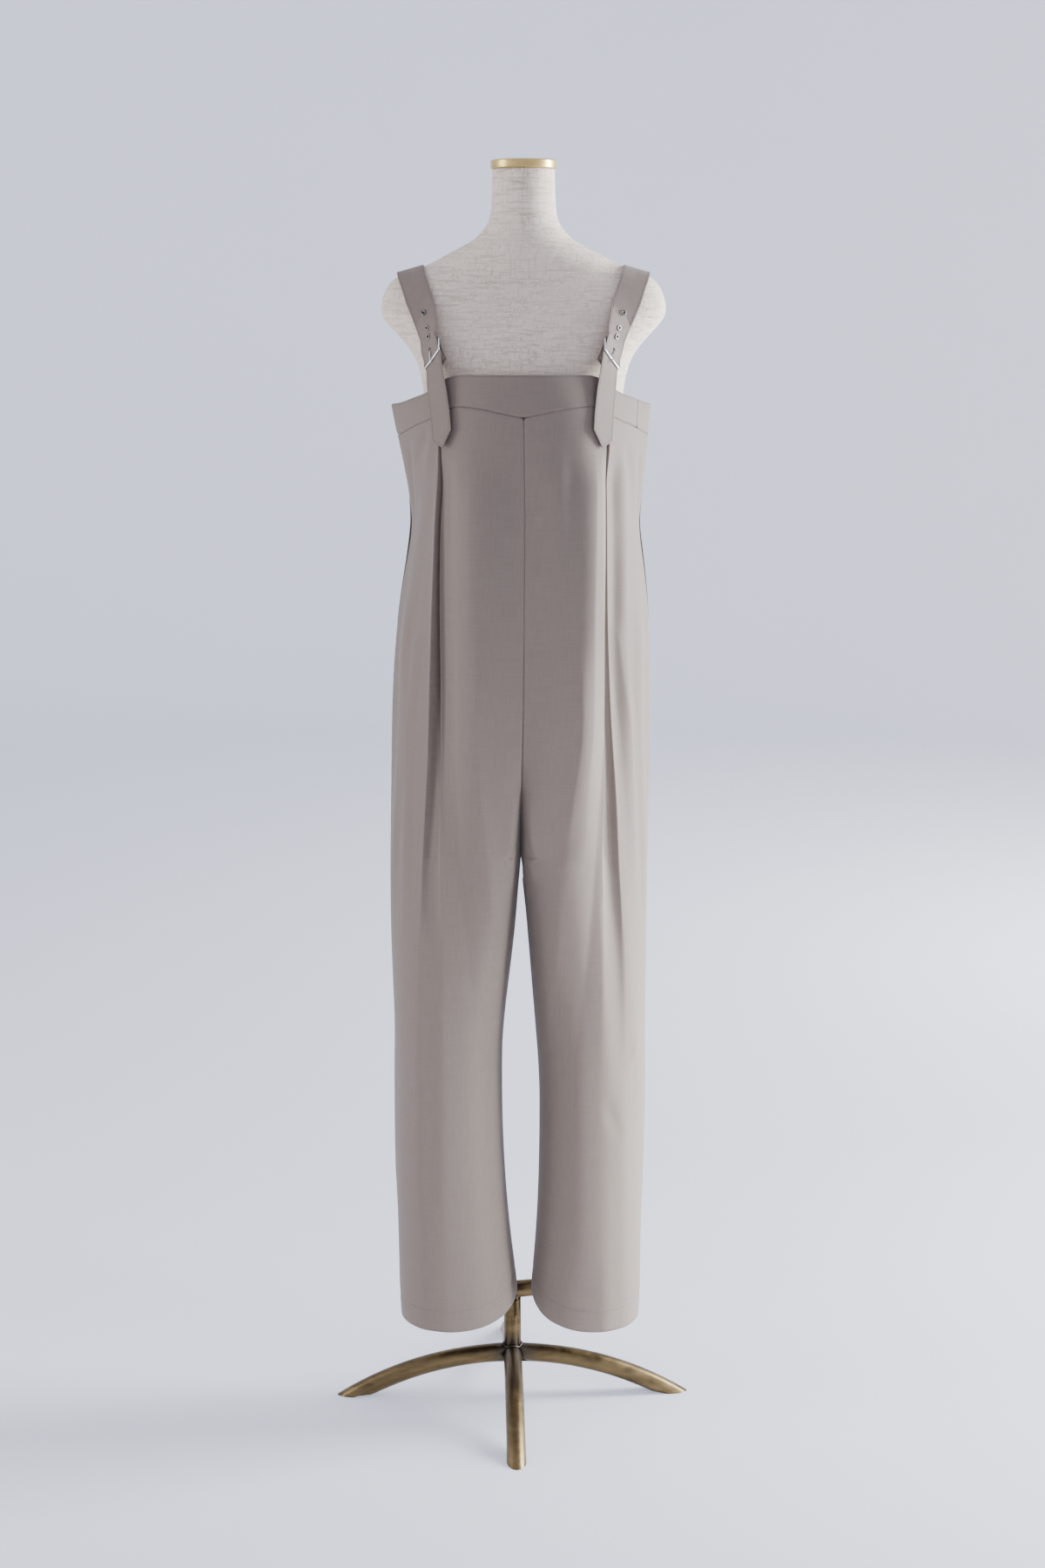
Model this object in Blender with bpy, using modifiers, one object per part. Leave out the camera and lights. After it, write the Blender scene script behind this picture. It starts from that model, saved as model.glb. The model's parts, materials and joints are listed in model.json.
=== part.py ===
"""High-waisted trousers with buckled shoulder straps, on a dress form and its stand.

Metres, +Z up, the front towards -Y. The origin is on the floor under the stand's post.
"""
import math

import bmesh
import bpy
import numpy as np
from mathutils import Matrix, Vector

# Cloth
CLOTH = 0.0015
BAND_CLOTH = 0.0022
SEAM_GAP = 0.0003
HALF_SEAM = SEAM_GAP / 2

# Heights of the garment, at its side seams
BAND_TOP = 1.388
BAND_FOOT = 1.348
FORK_TOP_FRONT = 0.930
FORK_TOP_BACK = 0.950
CROTCH = 0.795
HEM = 0.130
TOP_FADE = 0.220
HEM_FADE = 0.160

# Levels of the rows above the fork, the turns of the fork's curve in degrees, and the leg's levels
BODY_LEVELS = (1.348, 1.326, 1.296, 1.262, 1.232, 1.200, 1.155, 1.100, 1.040, 0.985)
FORK_TURNS = (0, 22, 42, 60, 76, 90)
LEG_LEVELS = (0.768, 0.732, 0.685, 0.625, 0.550, 0.465, 0.375, 0.285, 0.205, 0.160, 0.130)

# Where a leg's own outline starts to show in the section, and where it has taken over
LEG_SHAPE_FROM = 1.000
LEG_SHAPE_FULL = 0.600

# Sections of the garment: the centre line, both side seams, the front and back depth,
# how square the front and the back are, and half the gap between the legs
SECTION_COLUMNS = ("height", "centre", "left", "right", "front", "back",
                   "front_square", "back_square", "gap")
SECTIONS = (
    (1.430, 0.0155, -0.1640, 0.1890, -0.118, 0.104, 2.3, 2.6, 0.00015),
    (1.388, 0.0155, -0.1596, 0.1846, -0.122, 0.106, 2.5, 2.7, 0.00015),
    (1.348, 0.0160, -0.1519, 0.1815, -0.131, 0.109, 3.0, 2.8, 0.00015),
    (1.280, 0.0172, -0.1390, 0.1755, -0.138, 0.113, 3.7, 3.0, 0.00015),
    (1.232, 0.0175, -0.1332, 0.1697, -0.140, 0.116, 4.1, 3.2, 0.00015),
    (1.185, 0.0170, -0.1417, 0.1771, -0.140, 0.120, 3.9, 3.2, 0.00015),
    (1.092, 0.0160, -0.1554, 0.1849, -0.137, 0.126, 3.5, 3.0, 0.00015),
    (0.997, 0.0150, -0.1621, 0.1870, -0.133, 0.129, 3.2, 3.0, 0.00015),
    (0.902, 0.0130, -0.1642, 0.1867, -0.128, 0.128, 3.0, 3.0, 0.00015),
    (0.795, 0.0102, -0.1663, 0.1852, -0.122, 0.121, 3.0, 3.0, 0.00015),
    (0.757, 0.0104, -0.1667, 0.1846, -0.120, 0.116, 3.0, 3.0, 0.0052),
    (0.700, 0.0112, -0.1667, 0.1843, -0.117, 0.110, 3.0, 3.0, 0.0125),
    (0.600, 0.0118, -0.1640, 0.1835, -0.113, 0.100, 3.0, 3.0, 0.0222),
    (0.500, 0.0114, -0.1607, 0.1830, -0.109, 0.089, 3.0, 3.0, 0.0258),
    (0.385, 0.0124, -0.1618, 0.1817, -0.105, 0.078, 3.0, 3.0, 0.0250),
    (0.257, 0.0148, -0.1592, 0.1791, -0.101, 0.067, 3.0, 3.0, 0.0190),
    (0.154, 0.0165, -0.1577, 0.1787, -0.098, 0.058, 3.0, 3.0, 0.0100),
    (0.110, 0.0168, -0.1540, 0.1750, -0.097, 0.056, 3.0, 3.0, 0.0090),
)

# The leg's inner corners: the share of the half width and half depth that is rounded
CORNER_COLUMNS = ("height", "across", "deep")
CORNERS = (
    (0.935, 0.00, 0.00), (0.880, 0.10, 0.14), (0.840, 0.17, 0.26), (0.795, 0.28, 0.42),
    (0.757, 0.42, 0.56), (0.700, 0.62, 0.72), (0.600, 0.88, 0.92), (0.500, 1.00, 1.00),
)
OUTER_ROUNDNESS = 2.2
OUTER_SLOPE = 0.55
FORK_CORNER_SHARE = 0.9

# Steps along each stretch of a section, and the plan's probe and mitre limits
CURVE_STEPS = 32
CORNER_STEPS = 16
EDGE_STEPS = 4
PLAN_PROBE = 0.004
PANEL_MITRE = 0.55
BAND_MITRE = 0.5

# The front pleat of each leg: its distance from the centre on both sides, half its mouth,
# its depth, how far its lips stand proud, and the height of the crease beside it
PLEAT_COLUMNS = ("height", "left", "right", "mouth", "depth", "lip", "crease")
PLEATS = (
    (1.348, 0.107, 0.107, 0.0016, 0.0110, 0.0010, 0.0005),
    (1.296, 0.109, 0.107, 0.0017, 0.0150, 0.0015, 0.0015),
    (1.232, 0.113, 0.107, 0.0024, 0.0160, 0.0020, 0.0025),
    (1.140, 0.115, 0.107, 0.0046, 0.0160, 0.0020, 0.0040),
    (1.000, 0.116, 0.112, 0.0085, 0.0130, 0.0015, 0.0060),
    (0.900, 0.116, 0.117, 0.0110, 0.0100, 0.0012, 0.0070),
    (0.800, 0.117, 0.121, 0.0130, 0.0070, 0.0010, 0.0070),
    (0.700, 0.119, 0.125, 0.0150, 0.0040, 0.0006, 0.0065),
    (0.600, 0.121, 0.127, 0.0170, 0.0015, 0.0003, 0.0060),
    (0.450, 0.122, 0.127, 0.0180, 0.0000, 0.0000, 0.0045),
    (0.130, 0.122, 0.127, 0.0180, 0.0000, 0.0000, 0.0010),
)
FRONT_CREASE_OFFSETS = {-1: 0.049, 1: 0.034}
DART_CREASE_OFFSET = 0.034
CREASE_OUTER_SPREAD = 0.024
CREASE_INNER_SPREAD = 0.013
CREASE_END_FADE = 0.020
PLEAT_SHOULDER = 0.007
PLEAT_LIP = 0.0010
PLEAT_FLOOR = 0.60

# A row that follows the band dips at the pleat, by this share of the fold and at most this much
PLEAT_DROP = 0.6
PLEAT_DROP_LIMIT = 0.0016
FRONT_OUTER_STEPS = 5
FRONT_INNER_STEPS = 7

# The back dart of each leg, a shallow soft fold
DARTS = (
    (1.348, 0.080, 0.080, 0.0020, 0.0040, 0.0005, 0.0000),
    (1.250, 0.082, 0.082, 0.0050, 0.0070, 0.0008, 0.0010),
    (1.100, 0.086, 0.086, 0.0110, 0.0060, 0.0005, 0.0030),
    (0.900, 0.090, 0.090, 0.0150, 0.0030, 0.0000, 0.0040),
    (0.700, 0.094, 0.094, 0.0170, 0.0000, 0.0000, 0.0040),
    (0.130, 0.098, 0.098, 0.0180, 0.0000, 0.0000, 0.0010),
)
BACK_OUTER_STEPS = 5
BACK_INNER_STEPS = 5

# Edges of the waistband by the distance from the centre
BAND_EDGE_COLUMNS = ("across", "front_top", "front_foot", "back_top", "back_foot")
BAND_EDGES = (
    (0.000, 1.4280, 1.3735, 1.400, 1.358), (0.030, 1.4280, 1.3800, 1.400, 1.358),
    (0.060, 1.4280, 1.3860, 1.400, 1.358), (0.088, 1.4275, 1.3885, 1.400, 1.358),
    (0.104, 1.4210, 1.3800, 1.399, 1.357), (0.118, 1.4080, 1.3725, 1.398, 1.356),
    (0.145, 1.3975, 1.3605, 1.394, 1.353), (0.166, 1.3895, 1.3485, 1.389, 1.3485),
    (0.180, 1.3880, 1.3480, 1.388, 1.348),
)
BAND_ROWS = 3

# The hem's height by the angle round the leg: 0 outside, 90 front, 180 inside, 270 back
HEM_COLUMNS = ("angle", "height")
HEM_HEIGHTS = (
    (0, 0.130), (45, 0.1285), (90, 0.130), (135, 0.140), (165, 0.156), (190, 0.168),
    (220, 0.175), (270, 0.166), (315, 0.146), (360, 0.130),
)

# The pocket in each side seam: how far the front edge stands forward of the seam
POCKET_COLUMNS = ("height", "bow")
POCKET_BOW = ((1.110, 0.0), (1.130, 0.0), (1.185, 0.009), (1.250, 0.003), (1.268, 0.0), (1.300, 0.0))
POCKET_LEVELS = (1.115, 1.140, 1.170, 1.200, 1.232, 1.262, 1.280)
POCKET_FORWARD = 0.020
POCKET_BACKWARD = 0.010
FACING = 0.0012
STRIP_SHARES = (1.0, 0.66, 0.33, 0.0)
POCKET_CLEAR = 0.0012
ZIP_CLEAR = 0.0009
ZIP_LEVELS = (1.290, 1.310, 1.330, 1.350, 1.370, 1.384)
ZIP_HALF_WIDTH = 0.011

# Dress form sections: half width, half depth, middle and squareness
FORM_CENTRE = 0.0155
FORM_COLUMNS = ("height", "half", "deep", "middle", "square")
FORM = (
    (0.895, 0.148, 0.084, 0.004, 2.3), (0.930, 0.151, 0.088, 0.004, 2.3),
    (0.985, 0.151, 0.090, 0.006, 2.3), (1.050, 0.138, 0.085, 0.006, 2.3),
    (1.150, 0.115, 0.076, 0.003, 2.3), (1.220, 0.1145, 0.079, -0.001, 2.3),
    (1.290, 0.121, 0.089, -0.006, 2.4), (1.355, 0.128, 0.099, -0.007, 2.4),
    (1.400, 0.131, 0.101, -0.004, 2.4), (1.438, 0.1375, 0.098, 0.000, 2.4),
    (1.460, 0.1495, 0.094, 0.004, 2.4), (1.483, 0.171, 0.090, 0.008, 2.3),
    (1.495, 0.183, 0.086, 0.010, 2.3), (1.507, 0.189, 0.082, 0.011, 2.3),
    (1.519, 0.1885, 0.076, 0.012, 2.3), (1.535, 0.184, 0.067, 0.012, 2.2),
    (1.549, 0.1745, 0.061, 0.012, 2.1), (1.5555, 0.163, 0.060, 0.012, 2.0),
    (1.563, 0.139, 0.060, 0.012, 1.9), (1.573, 0.117, 0.060, 0.011, 1.9),
    (1.582, 0.102, 0.059, 0.010, 1.9), (1.590, 0.085, 0.057, 0.010, 1.9),
    (1.601, 0.0643, 0.053, 0.010, 2.0), (1.615, 0.0512, 0.0475, 0.010, 2.0),
    (1.629, 0.0432, 0.0430, 0.010, 2.0), (1.660, 0.0415, 0.0415, 0.010, 2.0),
    (1.6905, 0.0410, 0.0410, 0.010, 2.0),
)
FORM_SIDES = 32
FORM_PROBE = 0.0015
CAP_FOOT = 1.6908
CAP_TOP = 1.7022
CAP_RADIUS = 0.0430
CAP_EDGE = 0.0012
CAP_SIDES = 28

# Straps, in rows from the pointed tip over the shoulder to the back band. Off the form a row
# holds the distance from the centre, y, the height, and its own turn and slope in degrees.
# On the form it holds the distance, the height, whether it is at the back, and its lift.
STRAP_WIDTH = 0.036
STRAP = 0.0016
TONGUE = (
    (0.1050, -0.1105, 1.3515, 41, 27), (0.1058, -0.1055, 1.3750, 41, 28),
    (0.1074, -0.0980, 1.4020, 42, 32), (0.1092, -0.0930, 1.4230, 45, 37),
)
TONGUE_POINT = 0.015
POINT_HALF_WIDTH = 0.0012
UPPER_STRAP = (
    (0.1190, -0.0705, 1.4800, 44, 33), (0.1245, -0.0645, 1.4950, 36, 25),
    (0.1295, -0.0575, 1.5090, 21, 21),
)
SHOULDER = (
    (0.1350, 1.5240, False, 0.0008), (0.1390, 1.5360, False, 0.0008),
    (0.1425, 1.5460, False, 0.0008), (0.1452, 1.5530, False, 0.0012),
    (0.1468, 1.5572, False, 0.0020), (0.1475, 1.5592, False, 0.0026),
    (0.1478, 1.5598, False, 0.0028), (0.1478, 1.5598, True, 0.0028),
    (0.1475, 1.5592, True, 0.0028), (0.1468, 1.5572, True, 0.0026),
    (0.1455, 1.5530, True, 0.0020), (0.1440, 1.5460, True, 0.0012),
    (0.1420, 1.5360, True, 0.0012), (0.1380, 1.5180, True, 0.0018),
    (0.1325, 1.4950, True, 0.0018), (0.1265, 1.4640, True, 0.0010),
)
BACK_STRAP = ((0.1210, 0.0612, 1.4280, -38, 0), (0.1185, 0.0584, 1.3980, -42, 0),
              (0.1180, 0.0584, 1.3800, -42, 0))

# How much farther from the centre than the rows above each side's strap and buckle lie
TONGUE_SPREAD = {-1: (0.0000, 0.0010, 0.0030, 0.0045), 1: (-0.0030, -0.0025, -0.0015, -0.0005)}
BUCKLE_SPREAD = {-1: 0.0055, 1: 0.0012}
UPPER_SPREAD = {-1: (0.0030, 0.0016, 0.0000), 1: (0.0010, 0.0005, 0.0000)}

# Buckles: the frame lies across the strap, its upper bar under the strap, its lower bar on it
BUCKLE_CENTRE = (0.1135, -0.0815, 1.4555)
BUCKLE_TURN = 48
BUCKLE_SLOPE = 41
BUCKLE_RUN = (-0.05, -0.44, -0.89)
BAR_RADIUS = 0.00125
FRAME_HALF_LENGTH = 0.0197
FRAME_HALF_HEIGHT = 0.0130
FRAME_CORNER = 0.0022
TAB = 0.0012
TAB_HALF_WIDTH = 0.0160
TAB_BEND_STEPS = 6
BUCKLE_ROW_SHARE = 1.25
SLOT_HALF_WIDTH = 0.0018
SLOT_START = 0.0008
SLOT_END = 0.0105
SLOT_IN = -0.0008
SLOT_OUT = 0.0050
PRONG_RADIUS = 0.0009
PRONG_HOLE = 0.0030
PRONG_HOLE_ALONG = 0.0055

# Each row: how far along the strap, and how far outward. The prong's first rows count from its
# root and the strap's middle, and its last ones from the lower bar. The tab's front and back
# layers count from the upper bar and the bend round it.
PRONG_ROOT = ((0.0000, -0.00365), (0.0030, -0.00193), (0.0065, 0.0012))
PRONG_TIP = ((-0.0012, 0.0001), (0.0024, 0.0001), (0.0040, -0.0006))
TAB_FRONT = ((0.0220, -0.0034), (0.0080, 0.0000))
TAB_BACK = ((0.0080, -0.0002), (0.0220, -0.00365))

HOLE_SIDES = 12
HOLE_DEPTH = 0.012
EYELET_HEIGHTS = (1.5062, 1.4870, 1.4760)
EYELET_RADIUS = 0.0036
EYELET_BORE = 0.0013
EYELET_BARREL = 0.0019
EYELET_HOLE = 0.0022
EYELET_FLANGE = 0.0006
EYELET_CLEAR = 0.0008
EYELET_STEPS = 8

# Stand: bowed tube legs, a post, a crank arm and the pole that carries the form
STAND_TURN = 1.6
LEG_RADIUS = 0.0135
LEG_CENTRE_HEIGHT = 0.061
LEG_BOW = 0.443
LEG_END_ANGLE = 39.0
LEG_POINTS = 10
LEG_MITRE = 135
POST_RADIUS = 0.0123
POST_FOOT = 0.0475
ARM_RADIUS = 0.0126
ARM_HEIGHT = 0.1540
ARM_OVERHANG = 0.0120
POLE_AT = (0.0900, 0.0220)
POLE_RADIUS = 0.0125
FLANGE_RADIUS = 0.0350
FLANGE = 0.0040
TUBE_SIDES = 16
POST_SIDES = 24
POST_ROOM = (-0.010, 0.200)
ARM_ROOM = 0.020
SADDLE = 0.45

# Roundness of the bars and tubes, and the weld of their caps
THIN_BAR = 1
FINE_BAR = 2
TUBE_BAR = 4
WELD = 0.00001

COLOURS = {
    "cloth": ((0.36, 0.31, 0.285, 1), 0.85, 0.0),
    "facing": ((0.30, 0.26, 0.24, 1), 0.85, 0.0),
    "linen": ((0.72, 0.69, 0.64, 1), 0.90, 0.0),
    "silver": ((0.80, 0.80, 0.79, 1), 0.20, 1.0),
    "brass": ((0.42, 0.33, 0.19, 1), 0.35, 1.0),
    "cap_brass": ((0.66, 0.50, 0.27, 1), 0.30, 1.0),
}


def clear_scene():
    for item in list(bpy.data.objects):
        bpy.data.objects.remove(item, do_unlink=True)


def new_collection(name):
    collection = bpy.data.collections.new(name)
    bpy.context.scene.collection.children.link(collection)
    return collection


def material(name, slot):
    colour, roughness, metallic = COLOURS[slot]
    result = bpy.data.materials.new(name + "_material")
    result.use_nodes = True
    shader = result.node_tree.nodes["Principled BSDF"]
    shader.inputs["Base Color"].default_value = colour
    shader.inputs["Roughness"].default_value = roughness
    shader.inputs["Metallic"].default_value = metallic
    return result


def finish(item, collection, slot, sharp=40):
    """Link a made object, give it its material and shade it."""
    for other in list(item.users_collection):
        other.objects.unlink(item)
    collection.objects.link(item)
    item.data.materials.clear()
    item.data.materials.append(material(item.name, slot))
    item.data.shade_smooth()
    item.data.set_sharp_from_angle(angle=math.radians(sharp))
    return item


def mesh_object(name, points, faces):
    mesh = bpy.data.meshes.new(name)
    mesh.from_pydata([tuple(point) for point in points], [], faces)
    shape = bmesh.new()
    shape.from_mesh(mesh)
    bmesh.ops.recalc_face_normals(shape, faces=shape.faces)
    shape.to_mesh(mesh)
    shape.free()
    return bpy.data.objects.new(name, mesh)


def smooth_step(value):
    value = min(max(value, 0.0), 1.0)
    return value * value * (3 - 2 * value)


def read(table, columns, name, at):
    """A table's column at a place between its rows, on a curve with no overshoot."""
    place = columns.index(name)
    rows = sorted(table)
    keys = [row[0] for row in rows]
    values = [row[place] for row in rows]
    if at <= keys[0]:
        return values[0]
    if at >= keys[-1]:
        return values[-1]
    low = max(index for index, key in enumerate(keys[:-1]) if key <= at)
    steps = [(values[i + 1] - values[i]) / (keys[i + 1] - keys[i]) for i in range(len(keys) - 1)]

    def slope(index):
        if index == 0 or index == len(keys) - 1:
            return steps[min(index, len(steps) - 1)]
        before, after = steps[index - 1], steps[index]
        if before * after <= 0:
            return 0.0
        return 2 * before * after / (before + after)

    width = keys[low + 1] - keys[low]
    part = (at - keys[low]) / width
    square, cube = part * part, part * part * part
    return ((2 * cube - 3 * square + 1) * values[low]
            + (cube - 2 * square + part) * width * slope(low)
            + (3 * square - 2 * cube) * values[low + 1]
            + (cube - square) * width * slope(low + 1))


def section(name, height):
    return read(SECTIONS, SECTION_COLUMNS, name, height)


def side_reach(side, height):
    """Distance from the centre line to one side seam."""
    edge = section("right", height) if side > 0 else section("left", height)
    return abs(edge - section("centre", height))


def seam_middle(height):
    return (section("front", height) + section("back", height)) / 2


def base_curve(side, face, height):
    """One panel's section from its side seam to its inner seam, as (across, y) points."""
    reach = side_reach(side, height)
    gap = section("gap", height)
    depth = section(face, height)
    square = section(face + "_square", height)
    leg = smooth_step((LEG_SHAPE_FROM - height) / (LEG_SHAPE_FROM - LEG_SHAPE_FULL))
    inner_y = seam_middle(height)
    side_y = leg * inner_y
    middle = gap + (reach - gap) / 2

    def body_y(across):
        return side_y + (depth - side_y) * (1 - (across / reach) ** square)

    points = []
    for step in range(CURVE_STEPS + 1):
        share = math.cos(math.pi / 2 * step / CURVE_STEPS)
        across = middle + (reach - middle) * share
        leg_y = side_y + (depth - side_y) * (1 - share ** OUTER_ROUNDNESS) ** OUTER_SLOPE
        points.append((across, (1 - leg) * body_y(across) + leg * leg_y))

    def inner_front(across):
        return (1 - leg) * body_y(across) + leg * depth

    fork_top = FORK_TOP_FRONT if face == "front" else FORK_TOP_BACK
    corner_across = read(CORNERS, CORNER_COLUMNS, "across", height) * (middle - gap)
    if height >= fork_top:
        corner_across = 0.0
    start_y = inner_front(gap + corner_across)
    if height >= fork_top:
        end_y = start_y
    elif height > CROTCH:
        down = (fork_top - height) / (fork_top - CROTCH)
        end_y = start_y + (1 - math.sqrt(max(0.0, 1 - down * down))) * (inner_y - start_y)
    else:
        end_y = inner_y
    corner_deep = read(CORNERS, CORNER_COLUMNS, "deep", height) * (inner_y - start_y)
    if height > CROTCH:
        limit = FORK_CORNER_SHARE * abs(end_y - start_y)
        corner_deep = math.copysign(min(abs(corner_deep), limit), inner_y - start_y)
    for step in range(1, CORNER_STEPS + 1):
        across = middle + (gap + corner_across - middle) * step / CORNER_STEPS
        points.append((across, inner_front(across)))
    if corner_across > 0:
        for step in range(1, CORNER_STEPS + 1):
            turn = math.pi / 2 * step / CORNER_STEPS
            points.append((gap + corner_across * (1 - math.sin(turn)),
                           start_y + corner_deep * (1 - math.cos(turn))))
        for step in range(1, EDGE_STEPS + 1):
            share = step / EDGE_STEPS
            points.append((gap, start_y + corner_deep + (end_y - start_y - corner_deep) * share))
    clean = [points[0]]
    for point in points[1:]:
        if math.dist(point, clean[-1]) > 1e-7:
            clean.append(point)
    return np.array(clean)


def walk(curve):
    """Length along a curve at each of its points."""
    steps = np.linalg.norm(np.diff(curve, axis=0), axis=1)
    return np.concatenate([[0.0], np.cumsum(steps)])


def at_length(curve, lengths, place):
    return np.array([np.interp(place, lengths, curve[:, 0]), np.interp(place, lengths, curve[:, 1])])


def outward(curve, lengths, place):
    """The section's outward direction in plan, away from the leg's middle."""
    low = at_length(curve, lengths, max(place - PLAN_PROBE, 0.0))
    high = at_length(curve, lengths, min(place + PLAN_PROBE, lengths[-1]))
    run = high - low
    run = run / max(np.linalg.norm(run), 1e-9)
    return np.array([-run[1], run[0]])


def fold_stations(side, face, height, curve, lengths):
    """Places along a row and how far each stands out of the plain section."""
    table = PLEATS if face == "front" else DARTS
    outer_steps = FRONT_OUTER_STEPS if face == "front" else BACK_OUTER_STEPS
    inner_steps = FRONT_INNER_STEPS if face == "front" else BACK_INNER_STEPS

    def pleat(name):
        return read(table, PLEAT_COLUMNS, name, height)

    across = pleat("right") if side > 0 else pleat("left")
    heart = float(np.interp(-across, -curve[:, 0], lengths))
    mouth, depth, lip = pleat("mouth"), pleat("depth"), pleat("lip")
    start = heart - mouth - PLEAT_SHOULDER
    end = heart + mouth + PLEAT_SHOULDER
    places = [(start * step / outer_steps, 0.0) for step in range(outer_steps)]
    places += [(start, 0.0), (heart - mouth - PLEAT_LIP, lip), (heart - PLEAT_FLOOR * mouth, -depth),
               (heart + PLEAT_FLOOR * mouth, -depth), (heart + mouth + PLEAT_LIP, lip), (end, 0.0)]
    places += [(end + (lengths[-1] - end) * step / inner_steps, 0.0)
               for step in range(1, inner_steps + 1)]
    offset = FRONT_CREASE_OFFSETS[side] if face == "front" else DART_CREASE_OFFSET
    crease_at = heart + mouth + offset
    crease = pleat("crease")
    result = []
    for place, lift in places:
        off = place - crease_at
        spread = CREASE_INNER_SPREAD if off > 0 else CREASE_OUTER_SPREAD
        ending = min(1.0, (lengths[-1] - place) / CREASE_END_FADE)
        result.append((place, lift + ending * crease * math.exp(-(off / spread) ** 2)))
    return result


def hem_height(side, height, across, y):
    gap = section("gap", height)
    middle = gap + (side_reach(side, height) - gap) / 2
    angle = math.degrees(math.atan2(seam_middle(height) - y, across - middle)) % 360
    return read(HEM_HEIGHTS, HEM_COLUMNS, "height", angle)


def top_share(height):
    return max(0.0, 1 - (BAND_FOOT - height) / TOP_FADE) ** 2


def true_height(side, face, height, across, y):
    """A row's height where it follows the band's lower edge or the hem."""
    top = read(BAND_EDGES, BAND_EDGE_COLUMNS, face + "_foot", across) - BAND_FOOT
    hem_share = max(0.0, 1 - (height - HEM) / HEM_FADE) ** 2
    hem = hem_height(side, height, across, y) - HEM if hem_share > 0 else 0.0
    return height + top * top_share(height) + hem * hem_share


def panel_row(side, face, height):
    """A row of one panel, from the side seam to the inner seam."""
    curve = base_curve(side, face, height)
    lengths = walk(curve)
    facing = 1 if face == "front" else -1
    row = []
    for place, lift in fold_stations(side, face, height, curve, lengths):
        plain = at_length(curve, lengths, place)
        z = true_height(side, face, height, plain[0], plain[1])
        z -= top_share(height) * min(abs(lift) * PLEAT_DROP, PLEAT_DROP_LIMIT)
        point = plain + outward(curve, lengths, place) * facing * lift
        across = max(point[0], section("gap", height))
        row.append((section("centre", height) + side * across, point[1], z))
    return np.array(row)


def row_levels():
    fork = [FORK_TOP_FRONT - (FORK_TOP_FRONT - CROTCH) * math.sin(math.radians(turn))
            for turn in FORK_TURNS]
    return list(BODY_LEVELS) + fork + list(LEG_LEVELS)


def unit(vectors):
    return vectors / np.maximum(np.linalg.norm(vectors, axis=-1, keepdims=True), 1e-12)


def wall_directions(grid, side, levels):
    """Mitred directions from a half body's outer points to its inner ones."""
    rows, columns, _ = grid.shape
    first = grid[1:, 1:] - grid[:-1, :-1]
    second = grid[1:, :-1] - grid[:-1, 1:]
    faces = unit(np.cross(first, second))
    middle_row = rows // 2
    widest = int(np.argmax(side * grid[middle_row, :, 0]))
    if side * faces[middle_row, widest, 0] < 0:
        faces = -faces
    result = np.zeros_like(grid)
    level_rows = (0, rows - 1)
    for row in range(rows):
        above, below = max(row - 1, 0), min(row, rows - 2)
        strip = unit(faces[above] + faces[below])
        for column in range(columns):
            if 0 < column < columns - 1:
                left, right = strip[column - 1], strip[column]
            elif levels[row] < CROTCH - 1e-6:
                left, right = strip[-1], strip[0]
            else:
                left = right = strip[0] if column == 0 else strip[-1]
                left = right = unit(np.array([side * min(side * left[0], 0.0), left[1], left[2]]))
            if row in level_rows:
                left, right = (unit(way * np.array([1.0, 1.0, 0.0])) for way in (left, right))
            result[row, column] = (left + right) / max(1 + float(np.dot(left, right)), PANEL_MITRE)
    return result


def pull(grid, edge, toward, distance):
    """Move an edge column towards its neighbour."""
    run = grid[:, toward] - grid[:, edge]
    grid[:, edge] += unit(run) * np.reshape(distance, (-1, 1))


def wall_solid(name, outer, inner):
    """A closed wall between an outer and an inner grid of points."""
    rows, columns, _ = outer.shape
    count = rows * columns
    points = list(outer.reshape(-1, 3)) + list(inner.reshape(-1, 3))

    def spot(layer, row, column):
        return layer * count + row * columns + column

    faces = []
    for row in range(rows - 1):
        for column in range(columns - 1):
            quad = [(row, column), (row, column + 1), (row + 1, column + 1), (row + 1, column)]
            faces.append([spot(0, *corner) for corner in quad])
            faces.append([spot(1, *corner) for corner in reversed(quad)])
    for row in range(rows - 1):
        for column in (0, columns - 1):
            faces.append([spot(0, row, column), spot(0, row + 1, column),
                          spot(1, row + 1, column), spot(1, row, column)])
    for column in range(columns - 1):
        for row in (0, rows - 1):
            faces.append([spot(0, row, column), spot(0, row, column + 1),
                          spot(1, row, column + 1), spot(1, row, column)])
    return mesh_object(name, points, faces)


def trouser_panels(collection):
    levels = row_levels()
    for side, side_name in ((-1, "left"), (1, "right")):
        front = np.array([panel_row(side, "front", level)[::-1] for level in levels])
        back = np.array([panel_row(side, "back", level) for level in levels])
        seam = front.shape[1] - 1
        grid = np.concatenate([front, back[:, 1:]], axis=1)
        inner = grid - CLOTH * wall_directions(grid, side, levels)
        bow = np.array([read(POCKET_BOW, POCKET_COLUMNS, "bow", level) for level in levels])
        inseam = np.array([HALF_SEAM if level < CROTCH + 1e-6 else 0.0 for level in levels])
        for face, start, stop in (("front", 0, seam + 1), ("back", seam, grid.shape[1])):
            outer_part = grid[:, start:stop].copy()
            inner_part = inner[:, start:stop].copy()
            for part in (outer_part, inner_part):
                if face == "front":
                    pull(part, -1, -2, bow + HALF_SEAM)
                    pull(part, 0, 1, inseam)
                else:
                    pull(part, 0, 1, HALF_SEAM)
                    pull(part, -1, -2, inseam)
            panel = wall_solid(face + "_" + side_name, outer_part, inner_part)
            finish(panel, collection, "cloth")


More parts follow.
